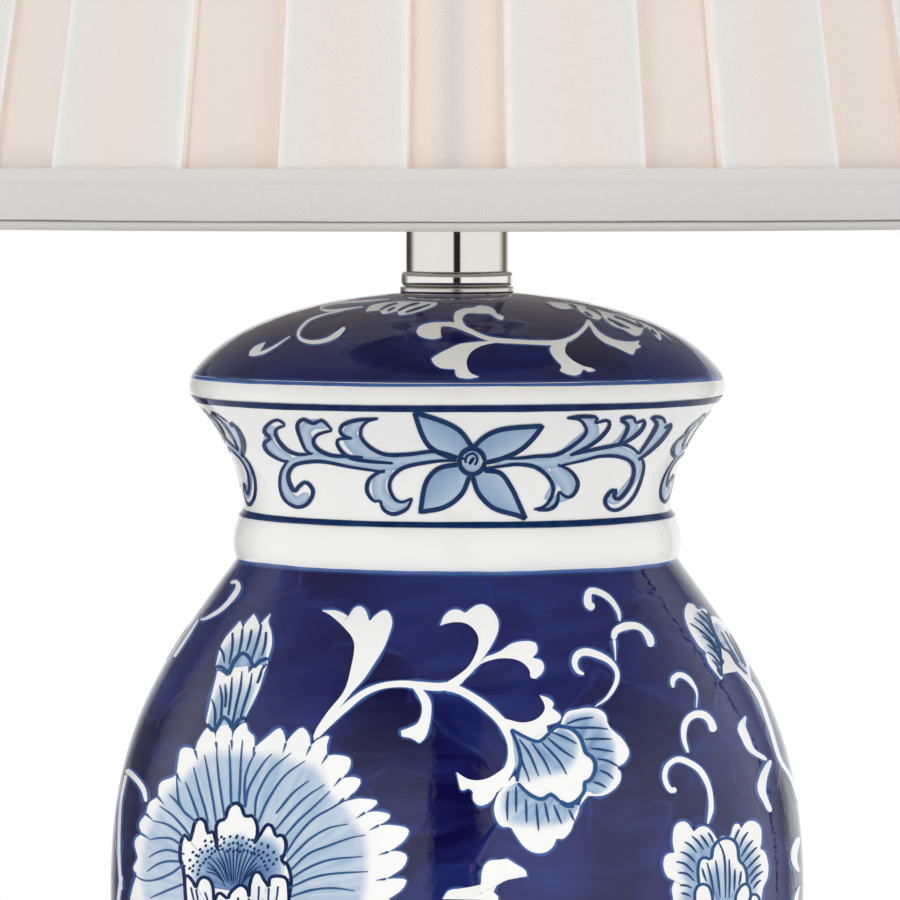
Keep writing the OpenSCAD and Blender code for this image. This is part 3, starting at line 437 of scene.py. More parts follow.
def to_glaze(board):
    """Angle round the axis and height where each line of sight meets the jar: the first sign change of
    x*x + y*y - radius(z)^2 along the line, narrowed by halving. A line that misses takes its nearest
    point."""
    way = sight(board)
    depth = np.linspace(NEAREST, FARTHEST, PROBES)

    def inside(t):
        p = EYE + way[..., None, :] * t[..., None]
        return p[..., 0] ** 2 + p[..., 1] ** 2 - jar_radius(p[..., 2]) ** 2, p

    value, _ = inside(np.broadcast_to(depth, board.shape[:-1] + (PROBES,)))
    hit = (value < 0).any(-1)
    first = np.where(hit, (value < 0).argmax(-1), value.argmin(-1))
    high = depth[first]
    low = np.where(hit, depth[np.maximum(first - 1, 0)], high)
    for _ in range(HALVINGS):
        middle = (low + high) / 2
        value, _ = inside(middle[..., None])
        outside = value[..., 0] > 0
        low, high = np.where(outside, middle, low), np.where(outside, high, middle)
    p = EYE + way * high[..., None]
    return np.stack([np.arctan2(p[..., 1], p[..., 0]), p[..., 2]], -1)


slope_r, slope_z = np.gradient(JAR_R), np.gradient(JAR_Z)
slope = np.hypot(slope_r, slope_z)
OUT_R, OUT_Z = slope_z / slope, -slope_r / slope


def lifted(polar, lift):
    """Points at angle and height on the jar, moved out along the surface's normal by the lift."""
    turn, z = polar[..., 0], np.clip(polar[..., 1], JAR_Z[0], JAR_Z[-1])
    r = jar_radius(z) + lift * np.interp(z, JAR_Z, OUT_R)
    up = z + lift * np.interp(z, JAR_Z, OUT_Z)
    return np.stack([r * np.cos(turn), r * np.sin(turn), up], -1)

# %% The painter's strokes
SKINS = {"rim": [], "white": [], "wash": [], "ink": []}
LIFT = {"rim": 0.05, "white": 0.12, "wash": 0.17, "ink": 0.32}
layout = {"shift": 0.0, "repeat": "half", "mirror": None, "rim": 3.6, "ink": 1.0}
brush = np.random.default_rng(11)


def trace(text):
    """The runs of a written line: "x,y x,y" and so on, with a bar at a corner, where the next run
    starts again from the last point."""
    found = []
    for part in text.split("|"):
        run = [tuple(float(v) for v in point.split(",")) for point in part.split()]
        found.append((found[-1][-1:] if found else []) + run)
    return found


def runs(side, count):
    """The points of a side at equal steps. A side is a written line or an array of points."""
    parts = trace(side) if isinstance(side, str) else [np.atleast_2d(side)]
    return even(np.vstack([smooth(p, 40) for p in parts]), count)


def lay(skin, board, mark, over=0):
    """Carry a sketched grid to the glaze, and its mirror image below the mirror line, where one is set."""
    boards = [board + np.array([layout["shift"], 0.0])]
    if layout["mirror"]:
        boards.append(boards[0] * [1, -1] + [0, 2 * layout["mirror"]])
    SKINS[skin].extend((to_glaze(b), mark, layout["repeat"], over) for b in boards)


def stroke(skin, points, widths, edge=0.0, count=None, tone=None):
    """A brush stroke: the line is widened to both sides by half its width, rounded at both ends. With
    an edge, it is the soft rim round a stroke, and its reach varies as the brush trembles."""
    line = smooth(trace(points)[0] if isinstance(points, str) else points, 240)
    length = float(np.linalg.norm(np.diff(line, axis=0), axis=1).sum())
    count = count or max(8, int(length / 3.2))
    wide = np.atleast_1d(np.asarray(widths, float))
    tip = min(max(float(wide.max()) / 2, 0.3), length / 3)
    opening = tip * (1 - np.cos(np.linspace(0, np.pi / 2, 4)[:-1]))
    closing = length - tip * (1 - np.cos(np.linspace(np.pi / 2, 0, 4)[1:]))
    at = np.concatenate([opening, np.linspace(tip, length - tip, count), closing])
    run = np.linspace(0, length, len(line))
    spot = np.stack([np.interp(at, run, line[:, k]) for k in (0, 1)], 1)
    along = np.gradient(spot, axis=0) + 1e-9
    across = np.stack([-along[:, 1], along[:, 0]], 1) / np.linalg.norm(along, axis=1)[:, None]
    width = np.interp(at / length, np.linspace(0, 1, len(wide)), wide)
    to_end = np.clip(np.minimum(at, length - at) / tip, 0, 1)
    half = (width * np.sqrt(np.clip(1 - (1 - to_end) ** 2, 0.01, 1)) / 2)[:, None]
    steps = np.array([-1, -1, 0, 1, 1.0]) if edge else np.array([-1, -0.5, 0, 0.5, 1.0])
    if edge:
        knots = np.arange(0, len(at) + 4, 4)
        edge = edge * np.interp(np.arange(len(at)), knots, brush.uniform(0.4, 1.3, len(knots)))[:, None]
    reach = half * steps + edge * np.array([-1, 0, 0, 0, 1.0])
    if skin == "rim":
        mark = [1.0, 0, 0, 0, 1]
    else:
        mark = 0.75 + 0.35 * np.abs(steps) if tone is None else [tone] * 5
    lay(skin, spot[:, None] + across[:, None] * reach[..., None], np.broadcast_to(mark, reach.shape))


def patch(skin, side_a, side_b, mark=(0.0, 1.0), count=36, across=7, over=0, streak=0.0):
    """A filled shape: straight lines between the matching points of two sides. The marks go from side
    to side, and streak is the share by which the brush's hairs let them vary from line to line."""
    a, b = runs(side_a, count), runs(side_b, count)
    t = np.linspace(0, 1, across)
    marks = np.interp(t, np.linspace(0, 1, len(mark)), mark)
    knots = np.arange(0, count + 3, 3)
    hairs = np.interp(np.arange(count), knots, brush.uniform(0, 1, len(knots)))
    t = t[None, :, None]
    lay(skin, a[:, None] * (1 - t) + b[:, None] * t, marks * (1 - streak * hairs[:, None]), over)


def vine(points, *widths):
    stroke("white", points, widths)
    stroke("rim", points, widths, edge=layout["rim"])


def leaf(side_a, side_b, count=36, across=7, rims="ab"):
    """A white shape between two sides, a and b, with the soft rim along the sides that rims names."""
    patch("white", side_a, side_b, count=count, across=across)
    for letter, side in (("a", side_a), ("b", side_b)):
        if letter in rims:
            outline = runs(side, max(count, 24))
            stroke("rim", outline, (0.5,), edge=layout["rim"], count=max(count, 30))


def ink(points, *widths, tone=0.5):
    """A line of the fine brush. The tone is its load: 0 is thin and pale blue, 1 is full and dark."""
    stroke("ink", points, layout["ink"] * np.array(widths or (2.0,)), tone=tone)


def ink_lines(text, *widths, tone=0.5):
    """Lines of the fine brush with the same widths, written with a semicolon between them."""
    for line in text.split(";"):
        ink(line, *widths, tone=tone)

# %% [markdown]
# ### Scrolls on the body
# The body carries a large open flower with a bud standing on it, a vine with three-lobed leaves that
# ends in a fan-shaped flower, curled tendrils, and a second flower on the right. The hidden lower half
# repeats them upside down, and the back of the jar repeats the front.

# %% Body: vine and leaves
layout.update(shift=2.5, repeat="below")
leaf("311,736 315,727 326,711 342,690.5 349,666 352,648 350,638 343,629 335,621 326,614 320,611",
    "312,741 320,730 334,712 351,691 361,680 371,665 381,649 387,634 390,623 387.5,614 382,610 372,616 "
    "367,622.5 | 363.5,611 357,606 349.5,610.5 348.5,619.5 | 342,614 333,610.5 320,610.5", count=60, across=9,
    rims="b")
# The vine runs to the right, with one leaf below it and two above
vine("314,738 329,721 345,706 362,693 380,686 400,684 420,686 438,687 452,684 461,677", 3, 6, 7.5, 6.5, 6,
    6.5, 8, 8, 7)
leaf("410,688 415,695 419,704 419.5,712 417,720 412,725.5 398.5,731 | 399.5,736.5",
     "418,688 424,694 428,701 429,710 427,725.5 423,737.5 417,743.5 | 409,738.5 399.5,736.5")
leaf("445,682 456,675 466,666.5 473,654.5 476,644 475,635 469,627 460.5,622.7 448.5,622.7 437.8,625.7",
    "462,680 474,667 485,652 491.5,641 495.5,631 495.5,620.5 490,610.5 482,604.8 474,605.3 467.5,609.5 "
    "462.8,613.5 | 456.5,610 448.5,610.4 441.3,616.5 437.8,625.7", count=54, across=9, rims="b")
leaf("457,685 466,675.7 476,665.5 488,660.4 500,658.4 512,659.4 521,663.5 527,670.6 528,677.8 533,678.8",
    "470,672 482,658 488.5,655.3 498.5,651 508.7,644 519,641.5 528,641.5 533.7,644 534.7,652 529.6,658 | "
    "538.3,660.4 541.5,666.5 539.3,673.7 533,678.8", count=50, rims="b")
# Its second half bends down to the fan flower, between two more leaves
vine("440,687 456,690 474,700 488,711 500,723.5 507,736 510,750 508,765 500,779 489,789 478,794", 7, 8, 8, 9,
    9, 10, 9, 9, 10, 12, 8)
leaf("499,718 507,720 519,722.7 531,720.6 539.3,714.5 542.3,706.3 537,695.5", "503,727 508,728 521,736 "
    "531,740 539.3,739 544.4,733 543.9,725.7 | 555.6,721.6 558,715.5 549.5,708.4 | 551,703.3 545.4,698 "
    "537,695.5", count=50, rims="b")
leaf("506,764 497.5,771 486.6,777.7 475.8,780.4 465,778.8 454,772.3", "506,785 500.7,787.5 496.9,782.6 | "
    "493.7,793 489,800.5 481.2,805.3 474.7,804.8 470.4,799.4 470.4,791.8 | 466,788.5 458.4,789.6 454,772.3",
    count=54, rims="b")
# Curled tendrils on the right, then those at the left edge
vine("592,707 604.7,697.7 613.5,683 614,671 606.4,661 595,655 583,652 575,655 572,663 575,671 581.5,674.5", 1,
    2.5, 4, 4.5, 4.5, 5.5, 7, 7.5, 7, 5, 3)
vine("611,640 613,631.4 623,626.4 634.6,626.4 643,632.2 647.8,641.3 647,647", 5, 7, 8, 7, 6, 8, 7)
vine("613,661 612.4,650 611.5,640", 0.8, 1.6, 3.4)
vine("617.2,621.4 615.5,611.5 608,600 598,593 588,591 585,597 586,605 592,608", 2.5, 4, 5, 6, 6, 7, 8, 8)
vine("228,583 234,582 236,588 230,598 219,609.5 205,618 198,620", 2.5, 5, 5.5, 4.5, 4, 3.5, 2)
vine("196,620 184,639 172,657", 1.6, 2.6, 3)
vine("124,770 133,778 141,789 144,802", 6, 5, 5, 3)
vine("124,775 119,800 117,830 117,860 119,890", 3, 2.5, 3, 3, 3)
print("sketched so far:", {k: len(v) for k, v in SKINS.items()})

# %% Body: large flower
HEART = "236,899"
heart = np.array(trace(HEART)[0][0])
layout.update(repeat="half", mirror=899)
# The petals' outline; a short dark line runs in from each notch between two petals
outer = (
    "128,899 131,886 135,874 | 131,868 136,858 | 132.5,845 134,838 140,834 | 137,824 144,814 | 147,803 "
    "156,797 | 158,783 170.5,777.5 174.5,774 | 176,762 179,749 188,748 193,751 | 196,741 205,728 212,733 "
    "214,743 | 214,733 221,721.5 229,730 229.5,741 | 233,730 243,722.5 246,731 252,737 252,748 | 265,737 "
    "277,728 282,735 283.5,744 | 288,737 299.5,727.5 307,736 308,747 | 315,740 326.7,735.5 324.5,745 "
    "324.5,756 | 334,755 347.8,758.7 346,771 338,779 | 349.5,777 358.5,780.5 353,791 341,799 | 357,798.5 "
    "375,801 370,808 362,813 | 375,811.5 388,815 384,821 376,825.6 | 389,825 405.8,829 403,839 394,847 "
    "385.5,852 | 394,851 404.5,855.6 401,867 390,875 383,879 | 393,878.5 404,880 399,890 386,899"
)
leaf(HEART, outer, count=220, across=18, rims="b")
for part in trace(outer)[2:-1]:
    notch = np.array(part[-1])
    inward = (heart - notch) / np.linalg.norm(heart - notch)
    ink([notch - inward, notch + 4 * inward, notch + 10 * inward], 2.6, 1.6, 0.4, tone=0.1)
# The wash stops short of the petals' edges, and the veins begin inside it
washed = (
    "141,899 139,878 139.5,859 142,842 149,819 156,806 166,790 183,775 192,765 202,755 215,751 231,752 "
    "249,754 262,753 282,755 295,761 311,765 322,776 329,794 345,806 352,821 360,829 364.5,841 366,860 "
    "365,879 361,899"
)
wider = heart + 1.03 * (np.array(trace(washed)[0]) - heart)
patch("wash", HEART, wider, mark=(0.98,) * 11 + (0.96, 0.9, 0.0), count=260, across=27, streak=0.3)
for points in ("237,802 238,783 239,758 240.5,740; 229,802 228,764 227,745; 222,814 219,794 216,771 "
    "214.5,751; 213.5,818 211,801 207,779 202.5,755; 205,818 203,809 197,789 191.5,767; 195.7,814.8 "
    "189.3,797 183.5,782; 191.8,820 181.6,811 176.5,799.5 174.6,776; 178,806 174,801 167,794.5; 185.5,832.7 "
    "180.4,826 170,815 157.4,806; 179,835 174,830 164,824 151,821; 176.5,843 169,838.5 157.4,838 147.5,840; "
    "178,853 166.3,850 156,852 146.5,857.5; 176.5,861.4 165,861.4 155,864.5 145,871.6; 178,867 169,873.5 "
    "153.6,879.8 141,880 131.5,874; 179,885 164,891 148,898; 242.5,802 243,779 247.5,764 254,752; 244,803 "
    "246,790 253,776 263,761 270,754; 253,814 255,796 268,771.5 289,753; 258,818 265.5,801 282,776.5 "
    "303,761; 277,809.7 291,793 307,780.5; 275.7,827 288.5,812 304,797 322.5,784.5; 284.6,834 296,821 "
    "311.4,807 328,791; 286,850 296,835 311.4,818.6 329,808.5 342,801 356,798; 284.6,862 297,849 309,838 "
    "327,828 346,824; 289.7,869 306,854 327,845.5 348,838 363,835; 291,877 307.6,867 329,859.5 360.5,856.5; "
    "291,886 311,877.5 332,873.5 366,871.5; 289.7,896.4 309,890 332,888 353,891").split(";"):
    vein = np.array(trace(points)[0])
    back = vein[0] - vein[1]
    ink(np.vstack([vein[0] + 5 * back / np.linalg.norm(back), vein]), 1.8, 2.5, 2.3, 1.9, 0.9, tone=0.22)

# %% Body: heart of the large flower
layout.update(mirror=None)
# The cup: a scalloped top and a round foot, washed and outlined
cup_top = (
    "184,898 181.6,870 178.4,859 179,843 183,835 188,841.5 | 190.6,832 193,822.5 198,818.5 203.5,822.5 "
    "206,833 211,831.5 213.5,840 215.5,850 | 214,828 217.3,821 223,818.6 226.3,808.4 232.7,803.3 239,806 "
    "243,816 250.5,816 255,825 255,835 252,844 | 258,835 264.5,825 270,826.5 274,836 279.5,835 283.5,841 "
    "283.5,851 279.5,861 285,864 289,879 287,899"
)
cup_foot = "287,899 283,924 270,944 253,956 236,960 219,956 202,944 189,924 184,899"
patch("wash", HEART, cup_top, mark=(0.12, 0.0), count=100, across=10, over=1)
patch("wash", HEART, cup_foot, mark=(0.35, 0.1), count=60, across=10, over=1)
for part in trace(cup_top):
    ink(part, 3.2, 3.8, 3.2, tone=0.95)
ink(cup_foot, 3.6, tone=0.95)
patch("wash", "237,892", "186,884 188,866 194,851 204,842 214,844 226,834 240,831 252,840 262,832 276,838 "
    "283,852 285,880", mark=(1.75, 1.75, 1.7, 1.6, 1.5, 1.2, 0.0), count=80, across=14, over=2, streak=0.2)
# Stamens fan out of the cup, and four rows of short dabs stand round them
for number, turn in enumerate(np.radians(np.linspace(156, 26, 17))):
    reach = 32 + 5 * np.sin(turn) + brush.uniform(-5, 4)
    aim = np.array([np.cos(turn), -np.sin(turn)])
    start = np.array([220.5 + 22 * number / 16, 886.5 + brush.uniform(-6, 1)])
    tip = np.array([232, 884]) + reach * aim
    middle_point = (start + tip) / 2 + [-1.5 * np.cos(turn), -2.0]
    ink([tuple(start), tuple(middle_point), tuple(tip)], 0.7, 1.3, 1.6, 1.0, tone=0.8)
for row, (reach, share) in enumerate(((37, 24), (43, 22), (49, 17), (55, 8))):
    for turn in np.radians(np.linspace(166 - 2 * row, 22 + 3 * row, share)):
        far = reach + 3 * np.sin(3 * turn) + brush.uniform(-2, 2)
        x, y = 232 + far * np.cos(turn) * 0.92, 884 - far * np.sin(turn) * (1.0 if row < 3 else 0.9)
        ink([(x - 1.0, y + 1.4), (x + 1.0, y - 1.4)], 2.5, tone=0.75)
# The petals in front of the cup
petals = (
    "184,901 183,884 184,875 190,880 194,888 | 197,880 202,877 208,880 211,888 212,902 | 217,893 226,899 | "
    "229,892 238,885 245,889 247,897 | 248,884 252,873 258,873 262,880 267,887 | 268,878 276,876 285,880 "
    "287,901"
)
patch("wash", "236,952", petals, mark=(1.2, 0.9, 0.3, 0.0), count=90, across=12, over=3, streak=0.6)
for part in trace(petals):
    ink(part, 3.6, 3.2, tone=0.95)
ink_lines("194,889 200,912 220,938; 212,902 218,920 229,944; 247,898 246,920 240,944; 267,888 264,912 "
    "250,938; 203,892 208,906 216,920; 236,897 237,912 237,928; 257,886 256,902 252,918; 276,886 274,900 "
    "266,914; 189,887 193,902 202,916", 2.2, 1.8, 1.0, tone=0.6)

# %% Body: bud standing on the large flower, and its fellow below
layout.update(mirror=899)
# Two tiers of petals, the upper one behind the lower
low_tier = (
    "204,722 205,716 207,707 210,693 214,677 215,671 | 219,672 225,676.5 | 229,668 234,662 240,657.5 | "
    "245.5,665 246,674 | 252,667 262,659.5 | 260,666 259.5,671.5 | 265.5,664.5 | 262,673 257,689 251,702 "
    "242,719"
)
high_tier = (
    "213.5,666 218,648 224,637 232,628 238,620.5 | 241,630 | 243,624 251.5,614 | 255,620 257,626 | 262,620 "
    "268.5,613.5 | 266,622 269,632 269.5,645 265,661"
)
for tier, base, inner in (
    (high_tier, "214,670 266,664", "215,664 220,649 228,637 238,633 248,628 259,628 265,636 265,648 262,660"),
    (low_tier, "206,728 242,722", "206,720 211,698 217,684 226,682 238,676 250,680 257,676 252,696 241,718"),
):
    leaf(base, tier, count=70, across=10)
    patch("wash", base, inner, mark=(1.35, 1.35, 1.2, 0.9, 0.0), count=60, across=13, streak=0.45)
# Veins, then the outlines between the tiers
ink_lines("222.3,663.5 221.2,654.3 217,647; 227,665 230.4,647.4 230.5,633; 235.5,657.7 239,644 240.5,629; "
    "244,652 247.6,640.5 249.6,630; 249.3,661 254.5,645 258,632 259,624.4; 259.6,657 263,645 264,632; "
    "217.7,685 220,699 219,718; 230,677 229,693 226.3,716; 240,671.5 238.4,687.6 234.4,705 230.4,724; "
    "250,673 247.6,687.6 243,702.5 238.4,718; 260,668 258,676 255,684; 209.7,699 213,711 212.6,727; 223,684 "
    "224,697 223,708", 1.0, 2.5, 2.7, 2.2, tone=0.5)
ink_lines("213.5,667 221,668 226,675 232,662 240,653.5 247,658 251.5,668; 251.5,668 258,661.5 266,658.5; "
    "205,724 212,731 219,720 222.3,717.5 228,723 230.4,729 237,720 244,718", 3.4, 4.2, 3.6, tone=0.4)
layout.update(mirror=None)

# %% Body: fan flower
layout.update(repeat="below")
# Three fans of petals: the middle one, the right one and the lower one, each with its wash
leaf("508,729 512,745 517,760 515,782", "508,729 522,737 536,742 547,735 558,727 570,730 577,737 581,746 "
    "584,753 590,758 592.5,766 591,774 586,781 | 582,783 581,791 575,799 566,804.5 557,801 | 551,794 "
    "547,793 | 540,798 534,797.5 524,791.5 515,782", count=90, across=12)
leaf("557,727 572,731 580,742 584,754 592,764 590,776 583,787 577,806", "557,727 563.5,713 575,709.5 "
    "585,708 596,709.5 603,715 605,725.6 | 612,732 620,739.5 626.5,752 621.5,763 612.5,767.5 | 617.8,772 "
    "617.6,781 611.7,789 602.5,794.8 593,796.2 586,795.5 577,806", count=90, across=8)
leaf("511,776 524,789 538,797 548,797 558,803 577,806", "511,776 503,785 495,795 491.5,809 494.5,821 "
    "500,826.8 508,826.5 | 513,835 521,846 531,852.5 542,852.5 550,847 554,838.5 | 561,838.5 568,831 "
    "571,823 575,814 577,806", count=80, across=10)
patch("wash", "509,731 524,739 536,742.5 547,736 558,728", "515,785 530,784 545,781 561,776 572,768 578,754 "
    "577,742 569,733 559,728", mark=(1.2, 1.2, 1.2, 1.15, 1.05, 0.0), count=60, across=15, streak=0.3)
patch("wash", "560,727 565,715 578,710 594,711 602,718 | 609,731 614,744 615,763 613,781 604,792 592,795",
    "562,727 572,730 580,742 583,753 591,761 591,772 584,781 581,790 588,792", mark=(0.0, 1.1, 1.3, 1.4, 1.5),
    count=60, across=11, streak=0.35)
patch("wash", "511,784 502,789 496,800 496,815 502,825 513,829 524,829 536,831 550,828 561,826 570,819 "
    "576,808", "516,783 530,797 540,799 550,797 560,804 575,806", mark=(0.0, 1.0, 1.15, 1.25, 1.35), count=70,
    across=11, streak=0.35)
# Veins, then the outlines of the fans
ink_lines("508.5,730 515,745 520,763 524.4,774 526.7,782; 516.4,739.4 525.6,752 531,763.5 536,776.5; "
    "529,743 537,754 543,763.5 548,775; 539.4,743 550,754 558,763.5 564,775; 545,738 559,750 572,758.6; "
    "548.5,732.5 561,737 574,744; 563.5,724.4 575,720 591,717.5; 563.5,726.7 576,728 593,728 605.5,729.5; "
    "581.8,739.4 595.6,739 609,739.4; 587.6,748.5 598,749.7 611,752; 594.5,759 605,761 616,767; 597,770.4 "
    "605,774 610.5,779; 590,782 597,784 603.7,788; 505.5,791 504.5,806 505,821; 513.5,786.4 513.5,812.8; "
    "523.3,799 524,823; 533.6,803.7 536,831; 542,802.5 546.3,823; 551,805 559,824; 566,809.4 571.5,821", 1.4,
    2.5, 2.4, 1.0, tone=0.5)
ink_lines("508.4,729.6 524.4,738.2 536,741.7 545,735 552,728 559,726.5 570,730 577,737 580.5,745 583,753 "
    "589,757 592.5,764 591.5,773 587,780.5 582,782.5 581.5,791 575.5,799.5 566,804.5 556.6,801; 515,783 "
    "524.4,792.5 533.6,798 540.5,799 547.4,794.5 551,796 557,801.5; 508.4,729.6 515.5,747 518,761 515.5,771 "
    "514.5,782; 557,801.5 563,805.5 572,806.5", 3.2, 3.8, 4.2, 3.4, tone=0.3)

# %% Body: lower leaf and the right-hand flower
layout.update(repeat="half")
# The stalk with its leaf, below the fan flower
vine("487,892 489,915 488,940 484,962 478,985 470,1008 462,1038 457,1070 455,1105 457,1142", 20, 9, 8, 7, 6,
    6, 6, 6, 7, 7)
leaf("440,899 446.5,890.5 459.5,889 470.4,892.6 478,895 | 478.5,882 479.6,871 483.4,863.3 490,860 "
    "495.3,862.3 498.5,866", "488.8,900 492,889.4 498.5,879.6 507,874 516,873.7 524.6,876.4 | 522.4,870 "
    "513.7,864.4 505,859 501.8,860 498.5,866", count=50)
layout.update(mirror=905)
# The upper half of the right-hand flower, mirrored below; its crown and lobes lie over the petals
leaf("717,905", "671,905 670,896 669,889 672,880 | 665,877 661,868 661.5,858 666,853.5 672,853 | 670,842 "
    "671,829 676,822.5 684,822.5 691,832 | 697,827 704,827 710,833 714.5,840 | 720,836 727,837 731,825.5 "
    "736,824 738,829 | 744,822 752,821.5 758,828 758.5,842 757,849 | 762,852 765.5,865 764.5,878 760,889 "
    "758,905", count=130, across=12, rims="b")
patch("wash", "717,905", "674,905 675,894 680,884 675,872 676,858 680,846 688,838 698,832 708,834 715,842 "
    "724,839 733,832 742,833 751,842 757,854 759,868 757,886 755,905", mark=(1.4, 1.4, 1.4, 1.35, 1.25, 0.0),
    count=90, across=16, streak=0.35)
crown = (
    "696,884 695,870 697,860 702,857.5 708,859 710,848 715,841 722,838 730,840 734.5,847 736,860 740.5,865 "
    "743.5,873 744,884"
)
patch("wash", "718,905", crown, mark=(0.0, 0.0), count=70, across=9, over=1)
patch("wash", "718,905", "700,900 700,880 704,866 712,860 722,856 731,862 738,872 741,888 741,900",
    mark=(1.45, 1.4, 1.2, 0.0), count=50, across=11, over=2, streak=0.45)
for side_lobe in ("692,905 692,892 695,886 700.5,884 706,887 709,896 710,905; 732,905 733,895 738,886 "
    "743.5,884 747,890 747,905; 745,905 747,897 751,894 755.5,897 757,905").split(";"):
    ends = trace(side_lobe)[0]
    patch("wash", [((ends[0][0] + ends[-1][0]) / 2, 905)], side_lobe, mark=(0.0, 0.0), count=30, across=5,
        over=3)
    ink(side_lobe, 2.6, 3.0, 2.6, tone=0.4)
ink_lines("681.7,841.7 688,846 694,853; 677.5,851.7 685,855 692.5,862.5; 673,861.7 682,864 691,872.5; "
    "675,872.5 684,874 691.7,881; 676.7,885 683,885.5 689,888; 678,893 683,894 688,896.5; 689,836 695,842 "
    "701,850; 697.5,835 702,841 706,847.5; 705,832.5 708,837 710.5,843; 736.5,829 733,836 731,842; 745,832 "
    "740,839 736.7,848; 750,840 744,847 738,857; 754,847 747,854 740,863; 757,855 750,862 743,870; 758,864 "
    "752,869 746,877; 760,871 753,876 747,884; 758,880 754,883 750,889; 704,862.5 708,878 711,895; "
    "712.5,860 715,878 717,897; 715,841 720,852 722,866 722.5,898; 726,859 726.5,878 726,898; 731.7,869 "
    "731.5,880 731,891; 699,868 701,875 703.5,882; 738,871 737,879 735.5,886", 1.2, 2.4, 2.2, 1.0, tone=0.5)
ink(crown, 2.8, 3.2, 2.8, tone=0.35)
layout.update(repeat="below", mirror=None)
# Tendrils, and the folded leaf above them
vine("693.5,708 694.3,694.4 691,686 684.3,678 676,675 670.2,680 670.5,688", 1, 1.2, 3, 5, 5.5, 6, 2.5)
vine("685.5,753 681,738 682.7,723 691,715 701,715 708,722 711,732", 2.5, 4.5, 6, 6.5, 7.5, 7, 8)
vine("705,824 708.4,807 706,787 697.6,771 686,762.5 674.4,759.5 664.8,766 662,776 664.4,785.6 669.4,791 "
    "673,788", 2, 5, 5, 5, 6, 6, 6, 5, 5, 5, 6)
leaf("718.5,680 712,672 706,664 703,656 | 703,652 697,647 691,638 686,629 682,617 682.5,608 685,603.5",
    "720,678 718,664 717,651 712,636 708,622 705,612.5 701,608.5 | 695,609.5 690.5,604.5 685,603.5", count=50,
    across=8)
leaf("744,678 732,669 722,661 717,651 711,638 707.5,625 708,616.5", "752,688 747.5,677 745,658 735,642 "
    "724,627 714,617.5 708,616.5", count=44, across=8, rims="")
patch("wash", "718,676 708,660 700,644 692,626 692,612", "719,672 716.5,652 711,636 706.5,620 701,611",
    mark=(0.2, 1.2, 1.5), count=40, across=7, streak=0.5)
patch("wash", "740,672 729,656 720,646 713,634 711,624", "749,682 744,660 733,642 722,628 714,622",
    mark=(1.1, 1.2, 0.0), count=40, across=7, streak=0.5)
leaf("719.5,674 719.5,667 721.5,662 719,657 719.5,653", "738,671 733,666 728.5,661 725,654 719.5,653",
    count=30, across=6, rims="")
# The stalk of that leaf runs down the right side, with three small leaves
vine("716,674 728,668 738,672 755,695 766.6,726 776.5,758 788,778 796,803", 5, 5, 5, 4, 4, 4, 3, 3)
vine("743,716 739,727 743,738 749,750 764,760", 2, 9, 8, 5, 4)
vine("768,760 761,776 759,790 763,801 768,812", 4, 7, 9, 6, 5)
vine("796,837 792,850 791.5,861 796,872", 4, 7, 6, 3)
ink_lines("687,623.5 699,632 712,645; 691,618 701,626 711.5,638; 694,613 703,621 710,631; 698,610.5 704,616 "
    "708.5,625; 699,636 708,643 716,654; 696,631 706,638 714.5,649; 704,645 711,650 717.5,659; 704,652 "
    "711,657 717,666; 709,660 713.5,665 717,672; 714,669 718,676; 718,632 727,648 736,663; 722,631 731,646 "
    "740,664; 727,634 735,648 743,667", 0.8, 1.6, 1.7, 1.4, tone=0.6)
ink("705,612 708,622 712,636 717,650 718,662 719,677", 1.4, 2.4, 2.0, tone=0.45)
ink("709,626 714,638 720,648 727,653 734,664 744,674", 1.0, 2.0, 2.2, 1.4, tone=0.5)
print("body sketched:", {k: len(v) for k, v in SKINS.items()})

# %% [markdown]
# ### Lid and neck band
# The lid has the same white scrolls. The neck stays white, with two blue lines round it and a band of
# three flowers, each between two leafy arms, outlined with a fuller brush and filled with the wash.

# %% Lid
layout.update(shift=-4.5, repeat="half", rim=2.4, ink=1.3)
vine("349.5,327.5 342,334.5 332,340 321.4,342.3 312.4,342 305.5,339.5 302.7,335 305.2,328.7 312.4,321.5 "
    "320,317.7 333,313.8 350,310.5", 3, 5.5, 4.5, 4, 3.6, 3.2, 3, 2.6, 2.2, 1.8, 1.6, 1)
vine("394,299.5 370,301.3 343,303.2 329,306 324.5,308.7 332,311 345,310 368,307", 1, 2, 2.6, 2.8, 2.6, 2.6,
    2.2, 1)
leaf("253.5,356 254.8,351.5 260.6,346 270.5,342.2", "253.5,356 262,355.5 265,351 270.5,342.2", count=16,
    across=4)
vine("256,355.5 268,352.5 279,347 288,341 295,336.5", 3, 3.4, 2.6, 1.8, 0.8)
leaf("370,312 376,305.7 397,302.2 420,301.8 442,302.7", "370,312 384.4,310.5 | 388,314.4 402.4,311.4 | "
    "404.2,315.4 417,313.6 429.4,310 440,306 442,302.7", count=50, across=6)
leaf("471.5,328 467,321.5 467.5,317.2 472.5,313.6 484,313.8 494,314.3 501,318.6 506.5,320.4",
    "460,325.5 458.5,319 460,312.5 469,308.9 478,308 | 483,306 492,306.6 498.5,309.6 501.5,314.3 | 508,317 "
    "506.5,320.4", count=44, across=6)
leaf("421,331.5 423.5,327 431,323.8 441,322.6 450,322.4 461,322.9 472,327.5 484,333.5 496,337.4 512,339 "
    "528,340 547,340.9 562,340.3 573,337.4 582.5,332 588.5,325.5 591.5,319.5", "421,331.5 423,335.5 "
    "430,338.6 439,339.5 446.5,337.5 | 440.5,334 439.5,330 444,327.2 452,326.6 462,329 476,334.5 489,340 "
    "502,343 520,344 540,345 557,345.5 570,343.5 580,338.5 588,332 595.5,323", count=80, across=6)
